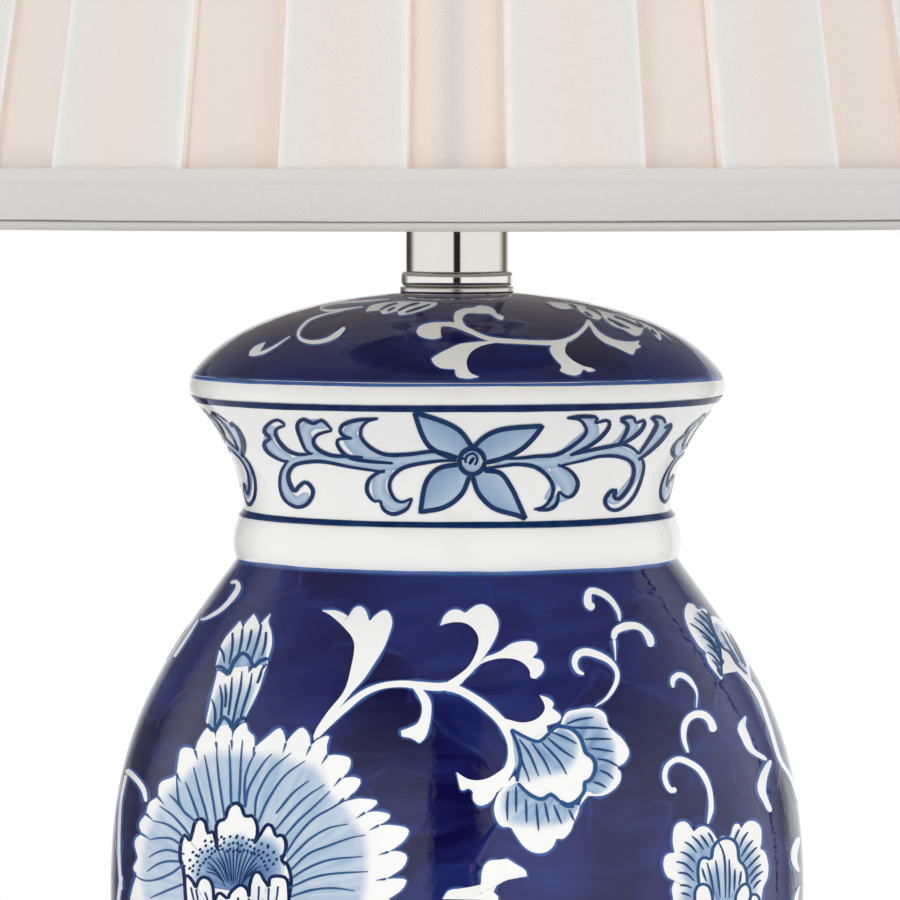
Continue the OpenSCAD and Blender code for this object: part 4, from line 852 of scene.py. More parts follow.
leaf("497,341 478,342.5 465,344.2 455.6,348 447,352 440,356 435.7,359.4 | 438.5,364 443,367.3 449,369 "
    "459.5,369.3 | 460.3,375 464,377.8 474,378.8 483.5,377", "503,342.5 486.5,346 476.5,351.6 471.7,359 "
    "471.5,366.5 475,373 483.5,377", count=56, across=6, rims="a")
leaf("557,343 554.3,349.7 557.3,356.3 562,361.9 565.9,366.3 564.2,371 | 571.3,374.2 578.8,375.7 584.6,374 "
    "587.2,369.2 | 593.7,372 600,370.6", "572,342 569.4,349.7 571.3,355.3 578.8,361.6 587.2,366 595.6,368.2 "
    "600,370.6", count=50, across=6, rims="a")
leaf("590,322 594.7,327.3 599.3,334.8 608.7,342.5 618,346.5 625.5,350 633.9,354 637.8,354.6 639.7,349.7 | "
    "645.5,347", "594,320 601.2,329.5 610.5,336.4 621.7,340.6 634.8,342 644,341 | 642.3,344 645.5,347",
    count=44, across=6)
leaf("551,302.3 566,303 584,305.5 609,312 637,319.8 655,327 676.8,341.3", "551,302.3 558.3,306.6 565.7,309 "
    "573.2,309.2 580.7,307.7 | 584.4,311.5 591.9,316 599.3,319.5 604.6,319.5 605.9,316 | 610.5,320.8 "
    "618,326.4 627.3,329.8 638.5,335.7 645,334.8 648,328.3 | 652,328 657.2,333.9 665,341.3 | 665.6,337.6 "
    "663,330.5 | 667.5,333.9 676.8,341.3", count=90, across=6)
ink_lines("384.5,310.3 393,306 402,303.5; 402.5,311.2 412,306.5 424,303.5; 410,313 424,308.5 435,304.8; "
    "392,311.5 400,307.5; 606,316 600,311.5 590,308; 612,319 623,324 634,329; 618,316.5 632,321.5 645,328; "
    "628,327.5 618,322.5; 581,307.5 573,305; 648,328 640,322; 589,312.5 597,317; 655,330 661,335.5", 1.3, 1.6,
    0.8)

# %% Neck band
layout.update(repeat="third", ink=1.45)


def arm(points, *widths):
    stroke("wash", points, widths)


def petal(upper, lower):
    """A washed petal between its two edges, which the fuller brush outlines."""
    patch("wash", upper, lower, mark=(1.2, 0.8), count=28, across=8)
    ink(np.vstack([smooth(trace(upper)[0], 24), smooth(trace(lower)[0], 24)[::-1]]), 3.4, tone=0.8)


petal("477.5,448 466,432 453,423.5 434,416.5 419,412.5", "461,459 446,453.5 434,446 426.5,434 419,412.5")
petal("463,464 446,467 436,474 429,487 425,512", "474,476 466,494 449,507 425,512")
petal("478,447 487,438 499.5,431 517,427.5 547,425.5", "490,462.5 508.5,457.5 525,449.5 537,438.5 547,425.5")
petal("477,476 483,493 498,508 521,515 530,519", "488,470 505,473 516,488 523,503 530,519")
arm("462,457 440,457 412,460 390,463 350,462 318,457 297,463 290,475 290,488 301,501 313,494", 6, 9, 11, 15,
    12, 8, 8, 8, 7, 8, 10)
arm("400,461 376,455 360,444 354,434 362,424 376,420", 8, 14, 18, 16, 10, 3)
arm("326,459 314,446 309,432 318,424 332,427", 8, 11, 13, 11, 4)
arm("296,461 279,450 273,438 278,426", 8, 10, 10, 7)
arm("396,468 384,480 386,496 400,506 412,502", 8, 13, 14, 11, 5)
arm("495,461 520,461 545,463 560,461 590,455 620,450 640,459 641,472 632,487 620,500 610,497", 7, 8, 12, 12,
    9, 9, 9, 7, 7, 9, 8)
arm("562,460 580,447 596,434 594,423 580,418", 8, 14, 16, 12, 3)
arm("611,450 627,438 638,425 630,419", 4, 6, 12, 7)
arm("640,457 654,443 666,428 663,419", 4, 8, 12, 8)
arm("556,466 569,480 572,492 560,500 548,508", 8, 16, 14, 8, 5)
arm("536,464 552,474 558,486 550,500", 6, 7, 7, 5)
ink_lines("470,459 447,452 436,451 412,454 390,454 375,447 366,437 366,428 372,421 383,418; 383,418 360,420 "
    "347,425 345,432 350,436 357,438; 357,438 343,439 343,446 351,455 366,460 398,463; 368,457 352,456 "
    "336,455 323,449 318,441 323,434 337,430; 337,430 327,420 318,423 308,419 302,425 305,437 310,449 "
    "315,453; 318,453 303,454 291,449 282,438 281,429 290,425; 290,424 282,419.5 273,424 269,431 275,438 "
    "269,443 273,452 286,460 294,461; 462,460 440,461 412,466 399,474 394,485 398,497 406,502 417,498; "
    "417,498 411,509 398,514 388,509 385,500; 385,500 379,501 372,492 373,481 380,474 390,470; 390,472 "
    "357,467 329,461.5 310,462 298,466 293,477 299,491 304,486 311,482 318,491 313,503 302,507 290,500 "
    "285,487 286,472 292,461; 504,458 520,458 540,456 561,454 579,444 590,433 589,425 583,419 571,417.5; "
    "571,417.5 586,416 601,417 599,423; 599,423 612,420 613,427 604,438 591,447 574,455; 574,455 594,450 "
    "614,446 627,444 637,448 643,454; 621,446 629,435 632,425 625,419 637,416.5 640,423; 640,423 649,420 "
    "646,429 636,438 621,446; 643,454 652,441 658,431 661,423 656,417.5 666,417 670,423; 668,428 676,424 "
    "667,438 654,451 642,460; 488,468 505,466 521,464 538,466 550,474 557,485 556,496 549,506 538,509.5; "
    "562,464 575,471 582,483 578,494 571,497 563,491; 563,491 561,503 554,509 541,510; 562,466 588,460 "
    "604,456 621,456 634,461 638,471 634,485 624,498 618,497 620,490 614,492 609,501 614,509 624,509 "
    "636,499 644,483 648,466 645,456", 1.6, 2.6, 3.0, 2.6, 1.8, tone=0.8)
ink([(476.5 + 12.5 * np.cos(t), 461 + 13.0 * np.sin(t)) for t in np.linspace(0, 2 * np.pi, 20)], 3.4,
    tone=0.8)
stroke("wash", "468,461 485,461", (20,))
ink("470,463 471,456 478,453 482,459 479,465", 1.8, tone=0.8)
ink("474.5,459.5 477.5,461.5", 6, tone=1.0)
print("all sketched:", {k: len(v) for k, v in SKINS.items()})

# %% [markdown]
# ### Lines round the jar and the four skins
# The blue lines round the neck, the rim and the foot were drawn on a turning wheel, so they waver a
# little. Each skin becomes one mesh, copied round the jar as the motif repeats.

# %% Skins as meshes
WHEEL = np.linspace(0, 2 * np.pi, 361)
# In millimetres: the level of the mirror image "below", the lift of a shape laid over others of its skin,
# and the reach of the small lifts that keep neighbours apart
WIDEST_Z, OVER_LIFT, OWN_LIFT = 155.5, 0.035, 0.02


def wavering(rng, waves):
    """Sines of the angle with random size and start, the quick ones smaller."""
    return sum(rng.uniform(-1, 1) * np.sin(k * WHEEL + rng.uniform(0, 6.28)) / k**0.5 for k in waves)


def ring_line(skin, height, width, waver, seed, marks=(1.0, 0.4, 0.4, 1.0)):
    """A line round the jar at a height, in millimetres, which wavers by a few sines of the angle. Its
    marks, from the lower edge to the upper, say how far the colour fades into the cobalt."""
    rng = np.random.default_rng(seed)
    sway = wavering(rng, (1, 2, 3, 5, 8, 13, 21, 34))
    swell = wavering(rng, (3, 7, 11, 19, 40))
    half = width / 2 * (1 + 0.12 * swell)
    z = (height + waver * sway[:, None] + half[:, None] * np.array([-1, -0.4, 0.4, 1])) * MM
    polar = np.stack([np.broadcast_to(WHEEL[:, None], z.shape), z], -1)
    SKINS[skin].append((polar, np.broadcast_to(np.array(marks), z.shape), "once", 0))


ring_line("ink", 326.2, 2.3, 0.12, 1, (0.75, 0.95, 0.95, 0.75))
ring_line("ink", 285.0, 2.2, 0.15, 2, (0.6, 0.85, 0.85, 0.6))
ring_line("rim", 334.7, 2.4, 0.25, 3, (0.0, 0.25, 0.75, 1.0))
ring_line("rim", 267.9, 2.0, 0.25, 4, (1.0, 0.75, 0.25, 0.0))
ring_line("rim", 35.7, 2.0, 0.2, 5, (0.0, 0.25, 0.75, 1.0))
ring_line("ink", 28.5, 1.2, 0.1, 6)


def turned(polar, degrees):
    return polar + np.array([np.radians(degrees), 0])


def copies(polar, how):
    """The motif stands once, twice or three times round the jar, and "below" also has it upside down
    under the jar's widest part, where both halves of the outline are alike."""
    if how == "once":
        return [polar]
    if how == "third":
        return [turned(polar, 120 * k) for k in range(3)]
    level = WIDEST_Z * MM
    lower = np.stack([polar[..., 0], level - (polar[..., 1] - level)], -1)
    return [turned(p, k) for p in ([polar, lower] if how == "below" else [polar]) for k in (0, 180)]


def outward(grid):
    """Whether the grid's faces look out of the jar, and on the lid up, judged by its middle face."""
    n, m = grid.shape[0] // 2, grid.shape[1] // 2
    here = grid[n, m]
    aside = grid[n, min(m + 1, grid.shape[1] - 1)] - here
    ahead = grid[min(n + 1, grid.shape[0] - 1), m] - here
    return np.cross(aside, ahead) @ np.append(here[:2], 0.02 * (here[2] > 0.34)) >= 0


painted = {}
for skin, grids in SKINS.items():
    shapes, marks = [], []
    for number, (polar, mark, how, over) in enumerate(grids):
        lift = LIFT[skin] + OVER_LIFT * over + OWN_LIFT * (number % 8) / 8
        for copy in copies(polar, how):
            grid = lifted(copy, lift * MM)
            way = 1 if outward(grid) else -1
            shapes.append(grid[:, ::way])
            marks.append(np.ascontiguousarray(mark[:, ::way]))
    painted[skin] = put_mesh("glaze_" + skin, shapes, marks={"fade": marks}, crease=180)
    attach(painted[skin], "lamp_base")
    print(skin, "triangles:", 2 * len(painted[skin].data.polygons))

# %% Paint materials
rim_finish, ground = glaze("cobalt_edge_glaze", linear(60, 110, 170), cobalt_ground=True)
patchy = rim_finish.noise(rim_finish.place, 160.0, 3.0)[0]
edge_blue = rim_finish.mix(patchy, linear(34, 74, 150), linear(84, 132, 196))
rim_finish.feed(Base_Color=rim_finish.mix(rim_finish.mark("fade"), edge_blue, ground))

# The wash goes from white through pale blue at 1 to the full blue at 1.6
wash_finish, _ = glaze("pale_wash_glaze", linear(165, 190, 220))
soft = wash_finish.math("MULTIPLY_ADD", wash_finish.noise(wash_finish.place, 110.0, 4.0)[0], 0.4, -0.2)
amount = wash_finish.math("MULTIPLY_ADD", wash_finish.mark("fade"), 1.0, soft)
pale_blue = wash_finish.mix(wash_finish.ramp(amount, 0.04, 1), linear(246, 246, 245), linear(156, 182, 210))
full_blue = wash_finish.mix(wash_finish.ramp(amount, 1, 1.6), pale_blue, linear(74, 112, 166))
wash_finish.feed(Base_Color=full_blue)

# The ink is dense and dulls the glaze over it, so it mirrors less
ink_finish, _ = glaze("fine_brush_ink_glaze", linear(32, 58, 122), ior=1.22)
uneven = ink_finish.math("MULTIPLY_ADD", ink_finish.noise(ink_finish.place, 220.0, 3.0)[0], 0.5, -0.25)
load = ink_finish.math("ADD", ink_finish.mark("fade"), uneven, use_clamp=True)
ink_finish.feed(Base_Color=ink_finish.mix(load, linear(52, 100, 154), linear(0, 24, 74)))

for skin, finish in {"rim": rim_finish, "white": white_glaze, "wash": wash_finish, "ink": ink_finish}.items():
    painted[skin].data.materials.append(finish.made)
    print("glaze_" + skin, "wears", finish.made.name)

# %% [markdown]
# ## Metal parts
# The foot, the neck and the finial are nickel-plated: the flat and upright faces are brushed round the
# axis, and the bead is polished. They are turned parts, so finer turned forms stand in for the CAD
# solids, and the small steel and brass parts keep their CAD meshes with their own finish.


# %% Metal finishes
def metal(name, color, low, high, rings=2600.0, bump=0.05, tone=0.06, painted_reflection=None):
    """Bare metal with turned lines. A painted reflection, where one is given, is a colour painted in where it
    curves out of sight, standing for the dark side walls of a room that the metal would mirror there."""
    made = Finish(name, color, (low + high) / 2, 1.0)
    lines = made.group(brushed, Place=made.place, Rings=rings, Low=low, High=high)
    surface = made.mix(lines["Tone"], tuple(c * (1 - tone) for c in color), color)
    if painted_reflection:
        facing = made.node("LayerWeight", {"Blend": 0.5}).outputs["Facing"]
        surface = made.mix(made.ramp(facing, 0.42, 0.56), surface, painted_reflection)
    made.feed(Roughness=lines["Roughness"], Base_Color=surface)
    made.bump(lines["Height"], bump, 0.0004)
    return made.made


brushed_nickel = metal("brushed_nickel", linear(222, 219, 213), 0.16, 0.28)
# Painted reflection: the neck sleeve's colour darkens towards its sides, where it curves out of sight
NECK_PAINTED_REFLECTION = linear(140, 132, 120)
satin_nickel = metal("satin_nickel", linear(230, 227, 222), 0.03, 0.08, 1900, 0.01, painted_reflection=NECK_PAINTED_REFLECTION)
polished_nickel = metal("polished_nickel", linear(238, 236, 231), 0.03, 0.08, 900, 0.005)
zinc_steel = metal("zinc_plated_steel", linear(196, 199, 204), 0.25, 0.42, 1500)
brass = metal("lacquered_brass", linear(214, 178, 96), 0.14, 0.28, 1800)
bulb_metal = metal("aluminium_screw_cap", linear(214, 214, 212), 0.2, 0.35, 420, 0.8)


def corner(r, z, size, start, stop, steps=7):
    """A rounded corner of the profile: an arc of the given size about (r, z), angles in degrees."""
    t = np.radians(np.linspace(start, stop, steps))
    return np.stack([r + size * np.cos(t), z + size * np.sin(t)], 1)


def place_piece(piece, material, node, body="lamp_base", slot="brushed_nickel"):
    """Give a new piece its material and the body that it moves with, and hide the CAD node that it
    replaces. The slot is not used."""
    piece.data.materials.append(material)
    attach(piece, body)
    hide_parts(node)
    return piece


def turned_part(name, profile, *facts, around=160, crease=35):
    """A turned piece from the parts of its profile. The facts are those of place_piece."""
    return place_piece(lathe(name, np.vstack(profile), around=around, crease=crease), *facts)

# %% Foot
foot = turned_part("metal_foot", [
    [(0, 4), (91.4, 4), (91.4, 1.5)], corner(93.2, 2.3, 0.8, -90, 0), corner(93.2, 14.7, 0.8, 0, 90),
    [(91, 15.5)], bezier([(91, 15.5), (90.2, 20.3), (89.4, 19.5), (87.8, 22.7)], 14),
    corner(86.4, 22.9, 0.6, 10, 90, 6), [(60, 23.5), (0, 23.5)],
], brushed_nickel, "base_shell")
print("foot faces:", len(foot.data.polygons))

# %% Neck
turned_part("lid_seat_disc", [
    [(0, 364.02)], corner(20.1, 364.42, 0.4, -90, 0, 5), corner(20.1, 365.58, 0.4, 0, 90, 5), [(0, 365.98)],
], brushed_nickel, "seat_disc")
turned_part("polished_bead", [
    [(0, 366)], corner(18.15, 368.0, 2.0, -90, -4, 12), corner(18.4, 369.75, 1.75, 4, 90, 12), [(0, 371.5)],
], polished_nickel, "neck_bead", "lamp_base", "polished_nickel")
turned_part("neck_sleeve", [
    [(17.15, 371.5), (18.2, 371.5), (18.35, 371.65), (18.35, 387), (18.35, 403.45), (18.2, 403.6)],
    [(17.15, 403.6), (17.15, 371.5)],
], satin_nickel, "neck_tube")
turned_part("neck_lid", [
    [(5.2, 400.6), (16.9, 400.6), (16.9, 403.6), (18.9, 403.6)], corner(18.85, 404.1, 0.5, -60, 0, 5),
    corner(18.85, 405.5, 0.5, 0, 90, 5), [(5.2, 406), (5.2, 400.6)],
], polished_nickel, "neck_cap", "lamp_base", "polished_nickel")
print("neck from 364 to 406 mm")

# %% Finial
FIN_Z, BALL_R = 651.1, 12
ball = np.radians(np.linspace(-65.4, 73, 40))
ball_mid = FIN_Z + 10 + BALL_R * np.cos(np.arcsin(5 / BALL_R))
top_z = ball_mid + BALL_R * np.sin(np.arccos(3.5 / BALL_R))
turned_part("ball_finial", [
    [(3.22, FIN_Z)], corner(8.1, FIN_Z + 0.4, 0.4, -90, 0, 4),
    bezier([(8.5, FIN_Z + 1.5), (8.5, FIN_Z + 3), (5, FIN_Z + 3), (5, FIN_Z + 10)], 16),
    np.stack([BALL_R * np.cos(ball), ball_mid + BALL_R * np.sin(ball)], 1),
    [(3.5, top_z), (3.5, top_z + 1.4), (3.2, top_z + 1.9), (2.45, top_z + 2.35), (0, top_z + 2.4)],
], polished_nickel, "finial", "finial", "polished_nickel", around=96)
print("finial top, mm:", round(top_z + 2.4, 1))


# %% Small metal and plastic parts from the CAD
def dress(material, *nodes):
    for name in nodes:
        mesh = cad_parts[name].data
        mesh.materials.clear()
        mesh.materials.append(material)


def plain(name, first, second, roughness, scale, bump=0.1):
    """A plain stuff: a noise mixes its two colours, given as a screen shows them, and roughens it."""
    made = Finish(name, linear(*first), roughness)
    noise = made.noise(made.place, scale, 4.0)[0]
    made.feed(Base_Color=made.mix(noise, linear(*first), linear(*second)))
    made.bump(noise, bump, 0.0003)
    return made.made


dress(plain("felt", (52, 53, 56), (76, 77, 80), 0.95, 2400.0, 0.8), "felt_pad")
dress(plain("soft_ring", (206, 200, 186), (222, 216, 204), 0.7, 500.0), "foot_gasket")
dress(plain("black_plastic", (22, 22, 23), (36, 36, 37), 0.35, 900.0), "cord_bushing", "switch_knob")
dress(plain("phenolic", (46, 38, 34), (66, 54, 46), 0.4, 700.0), "socket_body")
dress(plain("insulating_paper", (150, 120, 84), (172, 142, 102), 0.85, 800.0, 0.3), "socket_insulator")
dress(plain("bulb_black_ring", (14, 14, 16), (26, 26, 30), 0.2, 500.0), "bulb_insulator")
dress(plain("coated_wire", (214, 214, 211), (226, 226, 223), 0.35, 300.0),
    "shade_fitter", "shade_bottom_ring")
dress(brass, "saddle_nut", "socket_cap", "socket_shell", "screw_shell", "center_contact", "terminal_screws",
    "switch_shaft")
dress(zinc_steel, "base_washer", "base_lock_washer", "base_nut", "threaded_rod")
dress(brushed_nickel, "harp_saddle", "harp_sleeve_left", "harp_sleeve_right", "harp_stud")
dress(bulb_metal, "bulb_cap", "bulb_contact")
print("materials so far:", len(bpy.data.materials))

# %% Bulb
FOOT_Z, BALL_Z, GLASS_R = 480.0, 533.0, 30
t = np.radians(np.linspace(4, 90, 30))
frosted = Finish("frosted_bulb_glass", linear(240, 240, 238), 0.38, IOR=1.5, Transmission_Weight=0.25)
frost = frosted.noise(frosted.place, 900.0, 3.0)[0]
frosted.feed(Roughness=frosted.ramp(frost, 0, 1, 0.3, 0.5))
frosted.bump(frost, 0.1, 0.0002)
turned_part("bulb_globe", [
    [(0, FOOT_Z), (12.6, FOOT_Z)],
    bezier([(12.9, FOOT_Z), (13.9, 503.85), (GLASS_R, 506.5), (GLASS_R, BALL_Z)], 30),
    np.stack([GLASS_R * np.cos(t), BALL_Z + GLASS_R * np.sin(t)], 1),
], frosted.made, "bulb_glass", "bulb", "frosted_glass", around=96)
print("bulb top, mm:", BALL_Z + GLASS_R)

# %% Harp
LEG_X, BEND_R, BEND_Z, BOW_R = 28, 40, 441.7, 63.66
BOW_Z = 643.4 - BOW_R
bend = np.radians(np.linspace(0, 15, 8)[1:])
bow = np.radians(np.linspace(-15, 90, 40))
half = np.vstack([
    [(LEG_X, 409.8), (LEG_X, 425), (LEG_X, BEND_Z)],
    np.stack([LEG_X + BEND_R - BEND_R * np.cos(bend), BEND_Z + BEND_R * np.sin(bend)], 1),
    np.stack([BOW_R * np.cos(bow), BOW_Z + BOW_R * np.sin(bow)], 1),
])
line = np.vstack([half, half[::-1][1:] * [-1, 1]])
line = np.stack([line[:, 0], np.zeros(len(line)), line[:, 1]], 1) * MM


def wire(name, line, radius, sides=16):
    """A wire of even thickness: at each point of the line, a circle across the line's direction."""
    along = np.gradient(line, axis=0)
    along /= np.linalg.norm(along, axis=1)[:, None]
    flat = np.array([0.0, 1.0, 0.0])
    turn = np.linspace(0, 2 * np.pi, sides, endpoint=False)[None, :, None]
    ring = np.cos(turn) * np.cross(along, flat)[:, None] + np.sin(turn) * flat
    first, last = (np.repeat(end[:, None], sides, 1) for end in (line[:1], line[-1:]))
    closed = np.vstack([first, line[:, None] + radius * ring, last])
    return put_mesh(name, [closed[:, ::-1]], wrap=(False, True), merge=True)


hub_profile = np.vstack([
    [(2.55, 639.9)], corner(6.1, 640.3, 0.4, -90, 0, 4), corner(6.1, 646.5, 0.4, 0, 90, 4),
    [(2.55, 646.9), (2.55, 639.9)],
])
for piece in (wire("harp_bow", line, 2.0 * MM), lathe("harp_hub", hub_profile, around=48)):
    place_piece(piece, brushed_nickel, "harp", "harp")
print("harp width, mm:", 2 * BOW_R)

# %% [markdown]
# ## The shade
# The real shade is cloth laid in seventeen box pleats over a stiff lining: wide raised panels with narrow
# recesses between them. The pleats were folded by hand, so their edges wander by a degree or so, each
# panel is a little full, and its folded edge is a small round. A folded tape covers the raw edges at the
# top and bottom, and a thin covered cord is sewn along both rims.

# %% Shade outline
SHADE_LOW, SHADE_HIGH, SHADE_R, NARROWING = 388.0, 661.0, 216, 49


def shade_radius(z):
    """Radius of the hem's outer face at a height, in millimetres: a straight cone."""
    return SHADE_R - (z - SHADE_LOW) * NARROWING / (SHADE_HIGH - SHADE_LOW)


# The edges of the six front panels, in degrees from the middle, are those of the picture
PLEATS, HALF_PANEL = 17, 6.2
PITCH = 360 / PLEATS
FRONT = {14: (-60.4, -47.4), 15: (-39.5, -25.3), 16: (-16.0, -4.5), 0: (4.4, 16.8), 1: (24.1, 36.6),
    2: (46.3, 59.0)}
rng = np.random.default_rng(7)
left_edge = rng.uniform(-0.6, 0.6, PLEATS) - HALF_PANEL
right_edge = rng.uniform(-0.6, 0.6, PLEATS) + HALF_PANEL
middle = -90 + PITCH * (np.arange(PLEATS) + 0.5)
for index, edges in FRONT.items():
    centre = (middle[index] + 90 + 180) % 360 - 180
    left_edge[index], right_edge[index] = np.array(edges) - centre
lean = rng.uniform(-0.4, 0.4, (PLEATS, 2))
print("pleat pitch, degrees:", round(PITCH, 2))

# %% Pleated cloth
# In millimetres: the recesses' depth, the panels' fullness, and how far the cloth lies inside the hem
# face and the panels inside that; FOLD is in degrees
DEPTH, FULLNESS, HEM_OVER, PANEL_IN, FOLD = 2.6, 0.55, 1.1, 0.6, 0.2
rows = np.linspace(0, 1, 48)
# One pleat and the recess after it: -1 to 1 is the raised panel, 1 to 2 goes down the fold, 2 to 3
# across the recess, 3 to 4 up the next fold
within = np.concatenate([
    np.linspace(-1, 1, 19), 1 + np.linspace(0.06, 1, 9),
    2 + np.linspace(0.08, 0.92, 10), 3 + np.linspace(0, 0.94, 9),
])
panel = np.clip((within + 1) / 2, 0, 1)
down, floor_part, up = (np.clip(within - start, 0, 1) for start in (1, 2, 3))
depth = down * down * (3 - 2 * down) - up * up * (3 - 2 * up)
full = 1 - (2 * panel - 1) ** 2
puff = FULLNESS * full * (within <= 1)


def bell(middles, width):
    """A soft mark round each of some places of the pleat: exp(-(distance / width)^2)."""
    return sum(np.exp(-(((within - m) / width) ** 2)) for m in middles)


places, deep, warm = [], [], []
for index in range(PLEATS):
    following = (index + 1) % PLEATS
    start, stop = middle[index] + left_edge[index], middle[index] + right_edge[index]
    after = middle[following] + left_edge[following] + (360 if index == PLEATS - 1 else 0)
    s, e, n = start + lean[index][0] * rows, stop + lean[index][1] * rows, after + lean[following][0] * rows
    to_recess = s[:, None] + (e - s)[:, None] * panel + FOLD * down
    places.append(to_recess + (n - e - 2 * FOLD)[:, None] * floor_part + FOLD * up)
    crown = puff * (0.8 + 0.4 * rng.random()) * np.sin(np.pi * np.clip(rows[:, None], 0.02, 0.98)) ** 0.5
    wave = 0.12 * np.sin(rows[:, None] * (9 + 4 * rng.random()) + within * 2.0)
    deep.append(DEPTH * depth - crown + wave * (within < 1))
    # Warm streaks of painted shade lie in the recess beside each fold
    streak = rng.uniform(0.35, 1.0) * bell([2], 0.2) + rng.uniform(0.35, 1.0) * bell([3], 0.2)
    streak = np.where(within > 1, streak, 0)
    warm.append(streak * (0.65 + 0.35 * np.cos(rows[:, None] * rng.uniform(2, 5) + rng.uniform(0, 6))))
angle, deep, warm = np.radians(np.hstack(places)), np.hstack(deep), np.hstack(warm)
low, high = SHADE_LOW + 3.5, SHADE_HIGH - 3.5
height = np.broadcast_to((low + (high - low) * rows)[:, None], angle.shape)
radius = shade_radius(height) - HEM_OVER - PANEL_IN - np.maximum(deep, -FULLNESS)
cloth = np.stack([radius * np.cos(angle), radius * np.sin(angle), height], -1) * MM
# Painted shade: just left of the middle, a greyer strip runs down the cloth, where less light comes through
# it
PAINTED_SHADE_AT, PAINTED_SHADE_WIDE = 269.5, 1.1
from_painted_shade = (np.degrees(angle) - PAINTED_SHADE_AT + 180) % 360 - 180
# Marks for painted light: pinker middles and recesses (light through one layer), lighter walls, edge
# highlight
marks = {
    "warm": warm, "recess": within > 1, "centre": full * (within <= 1), "lip": bell([1, 3.97, -1], 0.07),
    "wall": (within > 1.03) & (within < 1.97) | (within > 3.03),
    "painted_shade": np.exp(-((from_painted_shade / PAINTED_SHADE_WIDE) ** 2)),
}
whole = {k: [v if k in ("warm", "painted_shade") else np.tile(v * 1.0, (len(rows), PLEATS))]
    for k, v in marks.items()}
pleats = put_mesh("pleated_cloth", [cloth], wrap=(False, True), marks=whole, crease=50)
print("pleated cloth triangles:", 2 * len(pleats.data.polygons))


# %% Own coordinates for the weave
def cloth_map(piece, shape, wide, tall, closed=False):
    """A map along the cloth, in metres: U runs round the shade, column by column, and V along the rows.
    Where the grid closes on itself, the last faces go on to the full width, or height, and not to 0."""
    n, m = shape
    vertex = np.empty(len(piece.data.loops), int)
    piece.data.loops.foreach_get("vertex_index", vertex)
    row, column = vertex // m, vertex % m
    face = np.arange(len(vertex)) // 4
    column = np.where((face % m == m - 1) & (column == 0), m, column)
    if closed:
        row = np.where((face // m == n - 1) & (row == 0), n, row)
    uv = np.stack([column / m * wide, row / (n if closed else n - 1) * tall], 1)
    piece.data.uv_layers.new(name="cloth").data.foreach_set("uv", uv.astype(np.float32).reshape(-1))


cloth_map(pleats, angle.shape, 2.4, 0.27)


def fabric(name, dark, light, threads=2600.0, bump=0.25, tints=()):
    """Cloth: two thread tones by the weave, then each tint (mark, colour, share) laid over them."""
    made = Finish(name, light, 0.9, Sheen_Weight=0.1, Sheen_Roughness=0.5)
    chart = made.node("UVMap", uv_map="cloth").outputs[0]
    threads = made.vector("MULTIPLY", chart, (threads, threads, 1.0)).outputs[0]
    cloth = made.group(weave, Threads=threads, Slub=0.6)
    base = made.mix(made.noise(made.place, 9.0, 2.0)[0], dark, light)
    for key, shade, part in tints:
        base = made.mix(made.math("MULTIPLY", made.mark(key), part, use_clamp=True), base, shade)
    speck = made.ramp(made.noise(made.place, 1300.0, 2.0)[0], 0.35, 0.65, 0, 0.07)
    worn = made.mix(speck, base, linear(150, 146, 142))
    made.feed(Base_Color=made.mix(cloth["Tone"], worn, base))
    made.bump(cloth["Height"], bump, 0.00015)
    return made.made


# Painted light in the tints: pinker panel middles and recesses, warm painted shade by the folds,
# fold walls painted lighter against their shade, and a painted highlight along each folded edge
ivory_cloth = fabric("ivory_pleated_cloth", linear(217, 219, 215), linear(222, 223, 219), tints=[
    ("centre", linear(226, 215, 209), 0.9), ("recess", linear(224, 215, 209), 1.0),
    ("warm", linear(238, 210, 190), 0.5), ("wall", linear(246, 232, 222), 0.9),
    # The greyer strip is painted shade
    ("lip", linear(242, 241, 237), 0.55), ("painted_shade", linear(206, 200, 196), 0.85),
])
thick = pleats.modifiers.new("thickness", "SOLIDIFY")
thick.thickness, thick.offset = 0.5 * MM, -1
place_piece(pleats, ivory_cloth, "pleated_fabric", "shade", "pleated_cloth")
print("cloth thickness, mm:", thick.thickness / MM)

# %% Hem tapes and piping
HEM_STEPS, SEW_LINES = 320, (403.4, 645.6)


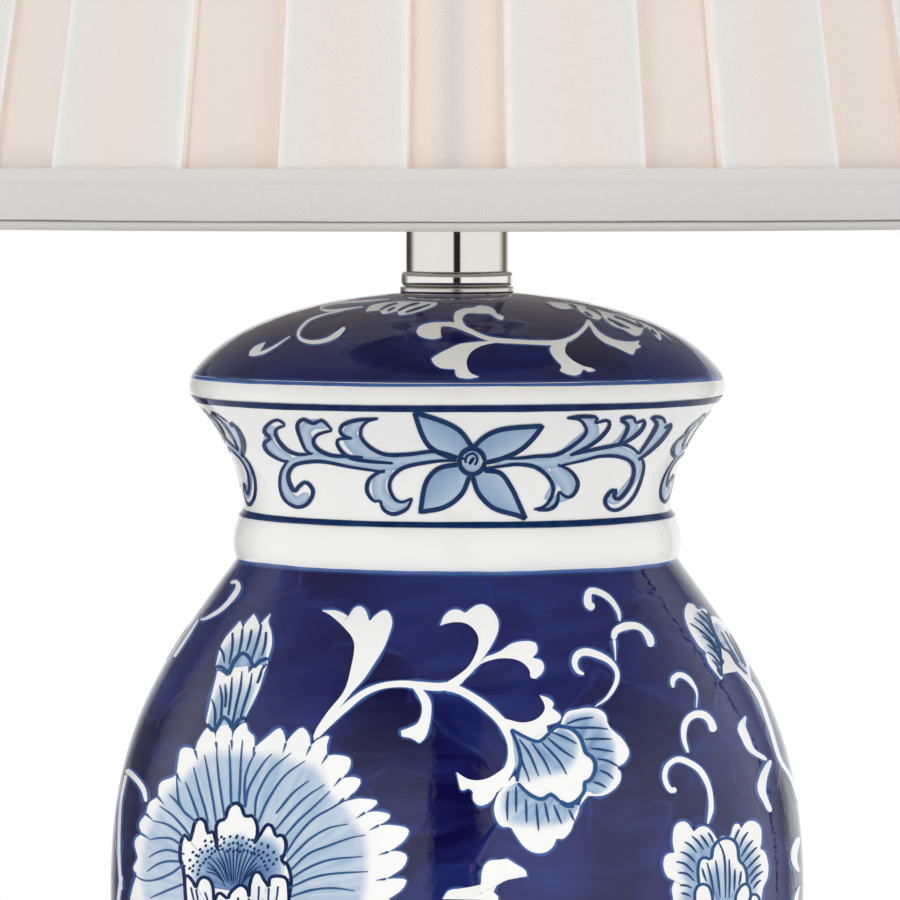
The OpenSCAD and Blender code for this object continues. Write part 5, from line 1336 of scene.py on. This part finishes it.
def band(name, profile, node, material, slot, waver=0.0):
    """A strip carried round the shade: each profile point is (distance outside the hem face, height).
    It is marked "upper" between the two lines of sewing, next to the pleats."""
    p = np.asarray(profile, float)
    turn = np.linspace(0, 2 * np.pi, HEM_STEPS, endpoint=False)
    z = p[:, 1:] + waver * (np.sin(5 * turn + 1) + 0.6 * np.sin(13 * turn) + 0.4 * np.sin(31 * turn + 2))
    r = shade_radius(z) + p[:, :1]
    grid = np.stack([r * np.cos(turn), r * np.sin(turn), z], -1) * MM
    upper = np.broadcast_to((p[:, 1:] > SEW_LINES[0]) & (p[:, 1:] < SEW_LINES[1]), z.shape).astype(float)
    piece = put_mesh(name, [grid], wrap=(True, True), crease=60, marks={"upper": [upper]})
    cloth_map(piece, z.shape, 1.3, 0.05, closed=True)
    return place_piece(piece, material, node, "shade", slot)


def piping_profile(z, r=1.6):
    t = np.linspace(0, 2 * np.pi, 14, endpoint=False)
    return np.stack([r * np.cos(t) - r, z + r * np.sin(t)], 1)


hem_cloth = fabric("grey_white_hem_tape", linear(203, 202, 201), linear(210, 208, 207), bump=0.35,
                   tints=[("upper", linear(213, 209, 206), 0.9)])
piping_cloth = fabric("piping_cover", linear(200, 197, 192), linear(211, 208, 203), threads=1500.0, bump=0.5)
low_hem = band("bottom_hem_tape", [
    (-0.8, 391.25), (-0.3, 391.27), (-0.05, 391.4), (0.0, 391.6), (0.0, 397), (0.0, 403.0), (-0.12, 403.35),
    (-0.34, 403.6), (-0.3, 404.1), (-0.22, 407.6), (-0.4, 408.2), (-0.8, 408.3), (-0.88, 400),
], "bottom_hem", hem_cloth, "hem_cloth", 0.08)
high_hem = band("top_hem_tape", [
    (-0.8, 640.8), (-0.4, 640.8), (-0.22, 641.3), (-0.3, 645.0), (-0.34, 645.5), (-0.12, 645.8), (0.0, 646.1),
    (0.0, 652), (0.0, 656.6), (-0.1, 657.1), (-0.35, 657.4), (-0.8, 657.2), (-0.88, 649),
], "top_hem", hem_cloth, "hem_cloth", 0.08)
low_piping = band("bottom_piping_cord", piping_profile(389.6), "bottom_piping", piping_cloth, "piping_cord")
high_piping = band("top_piping_cord", piping_profile(659.4), "top_piping", piping_cloth, "piping_cord")
# Painted shade: the lining is greyer than white, for the dim inside of the shade that the glaze mirrors
dress(plain("stiff_white_lining", (200, 195, 186), (211, 206, 198), 0.6, 260.0, 0.05), "shade_lining")
print("sewn on:", [piece.name for piece in (low_hem, high_hem, low_piping, high_piping)])
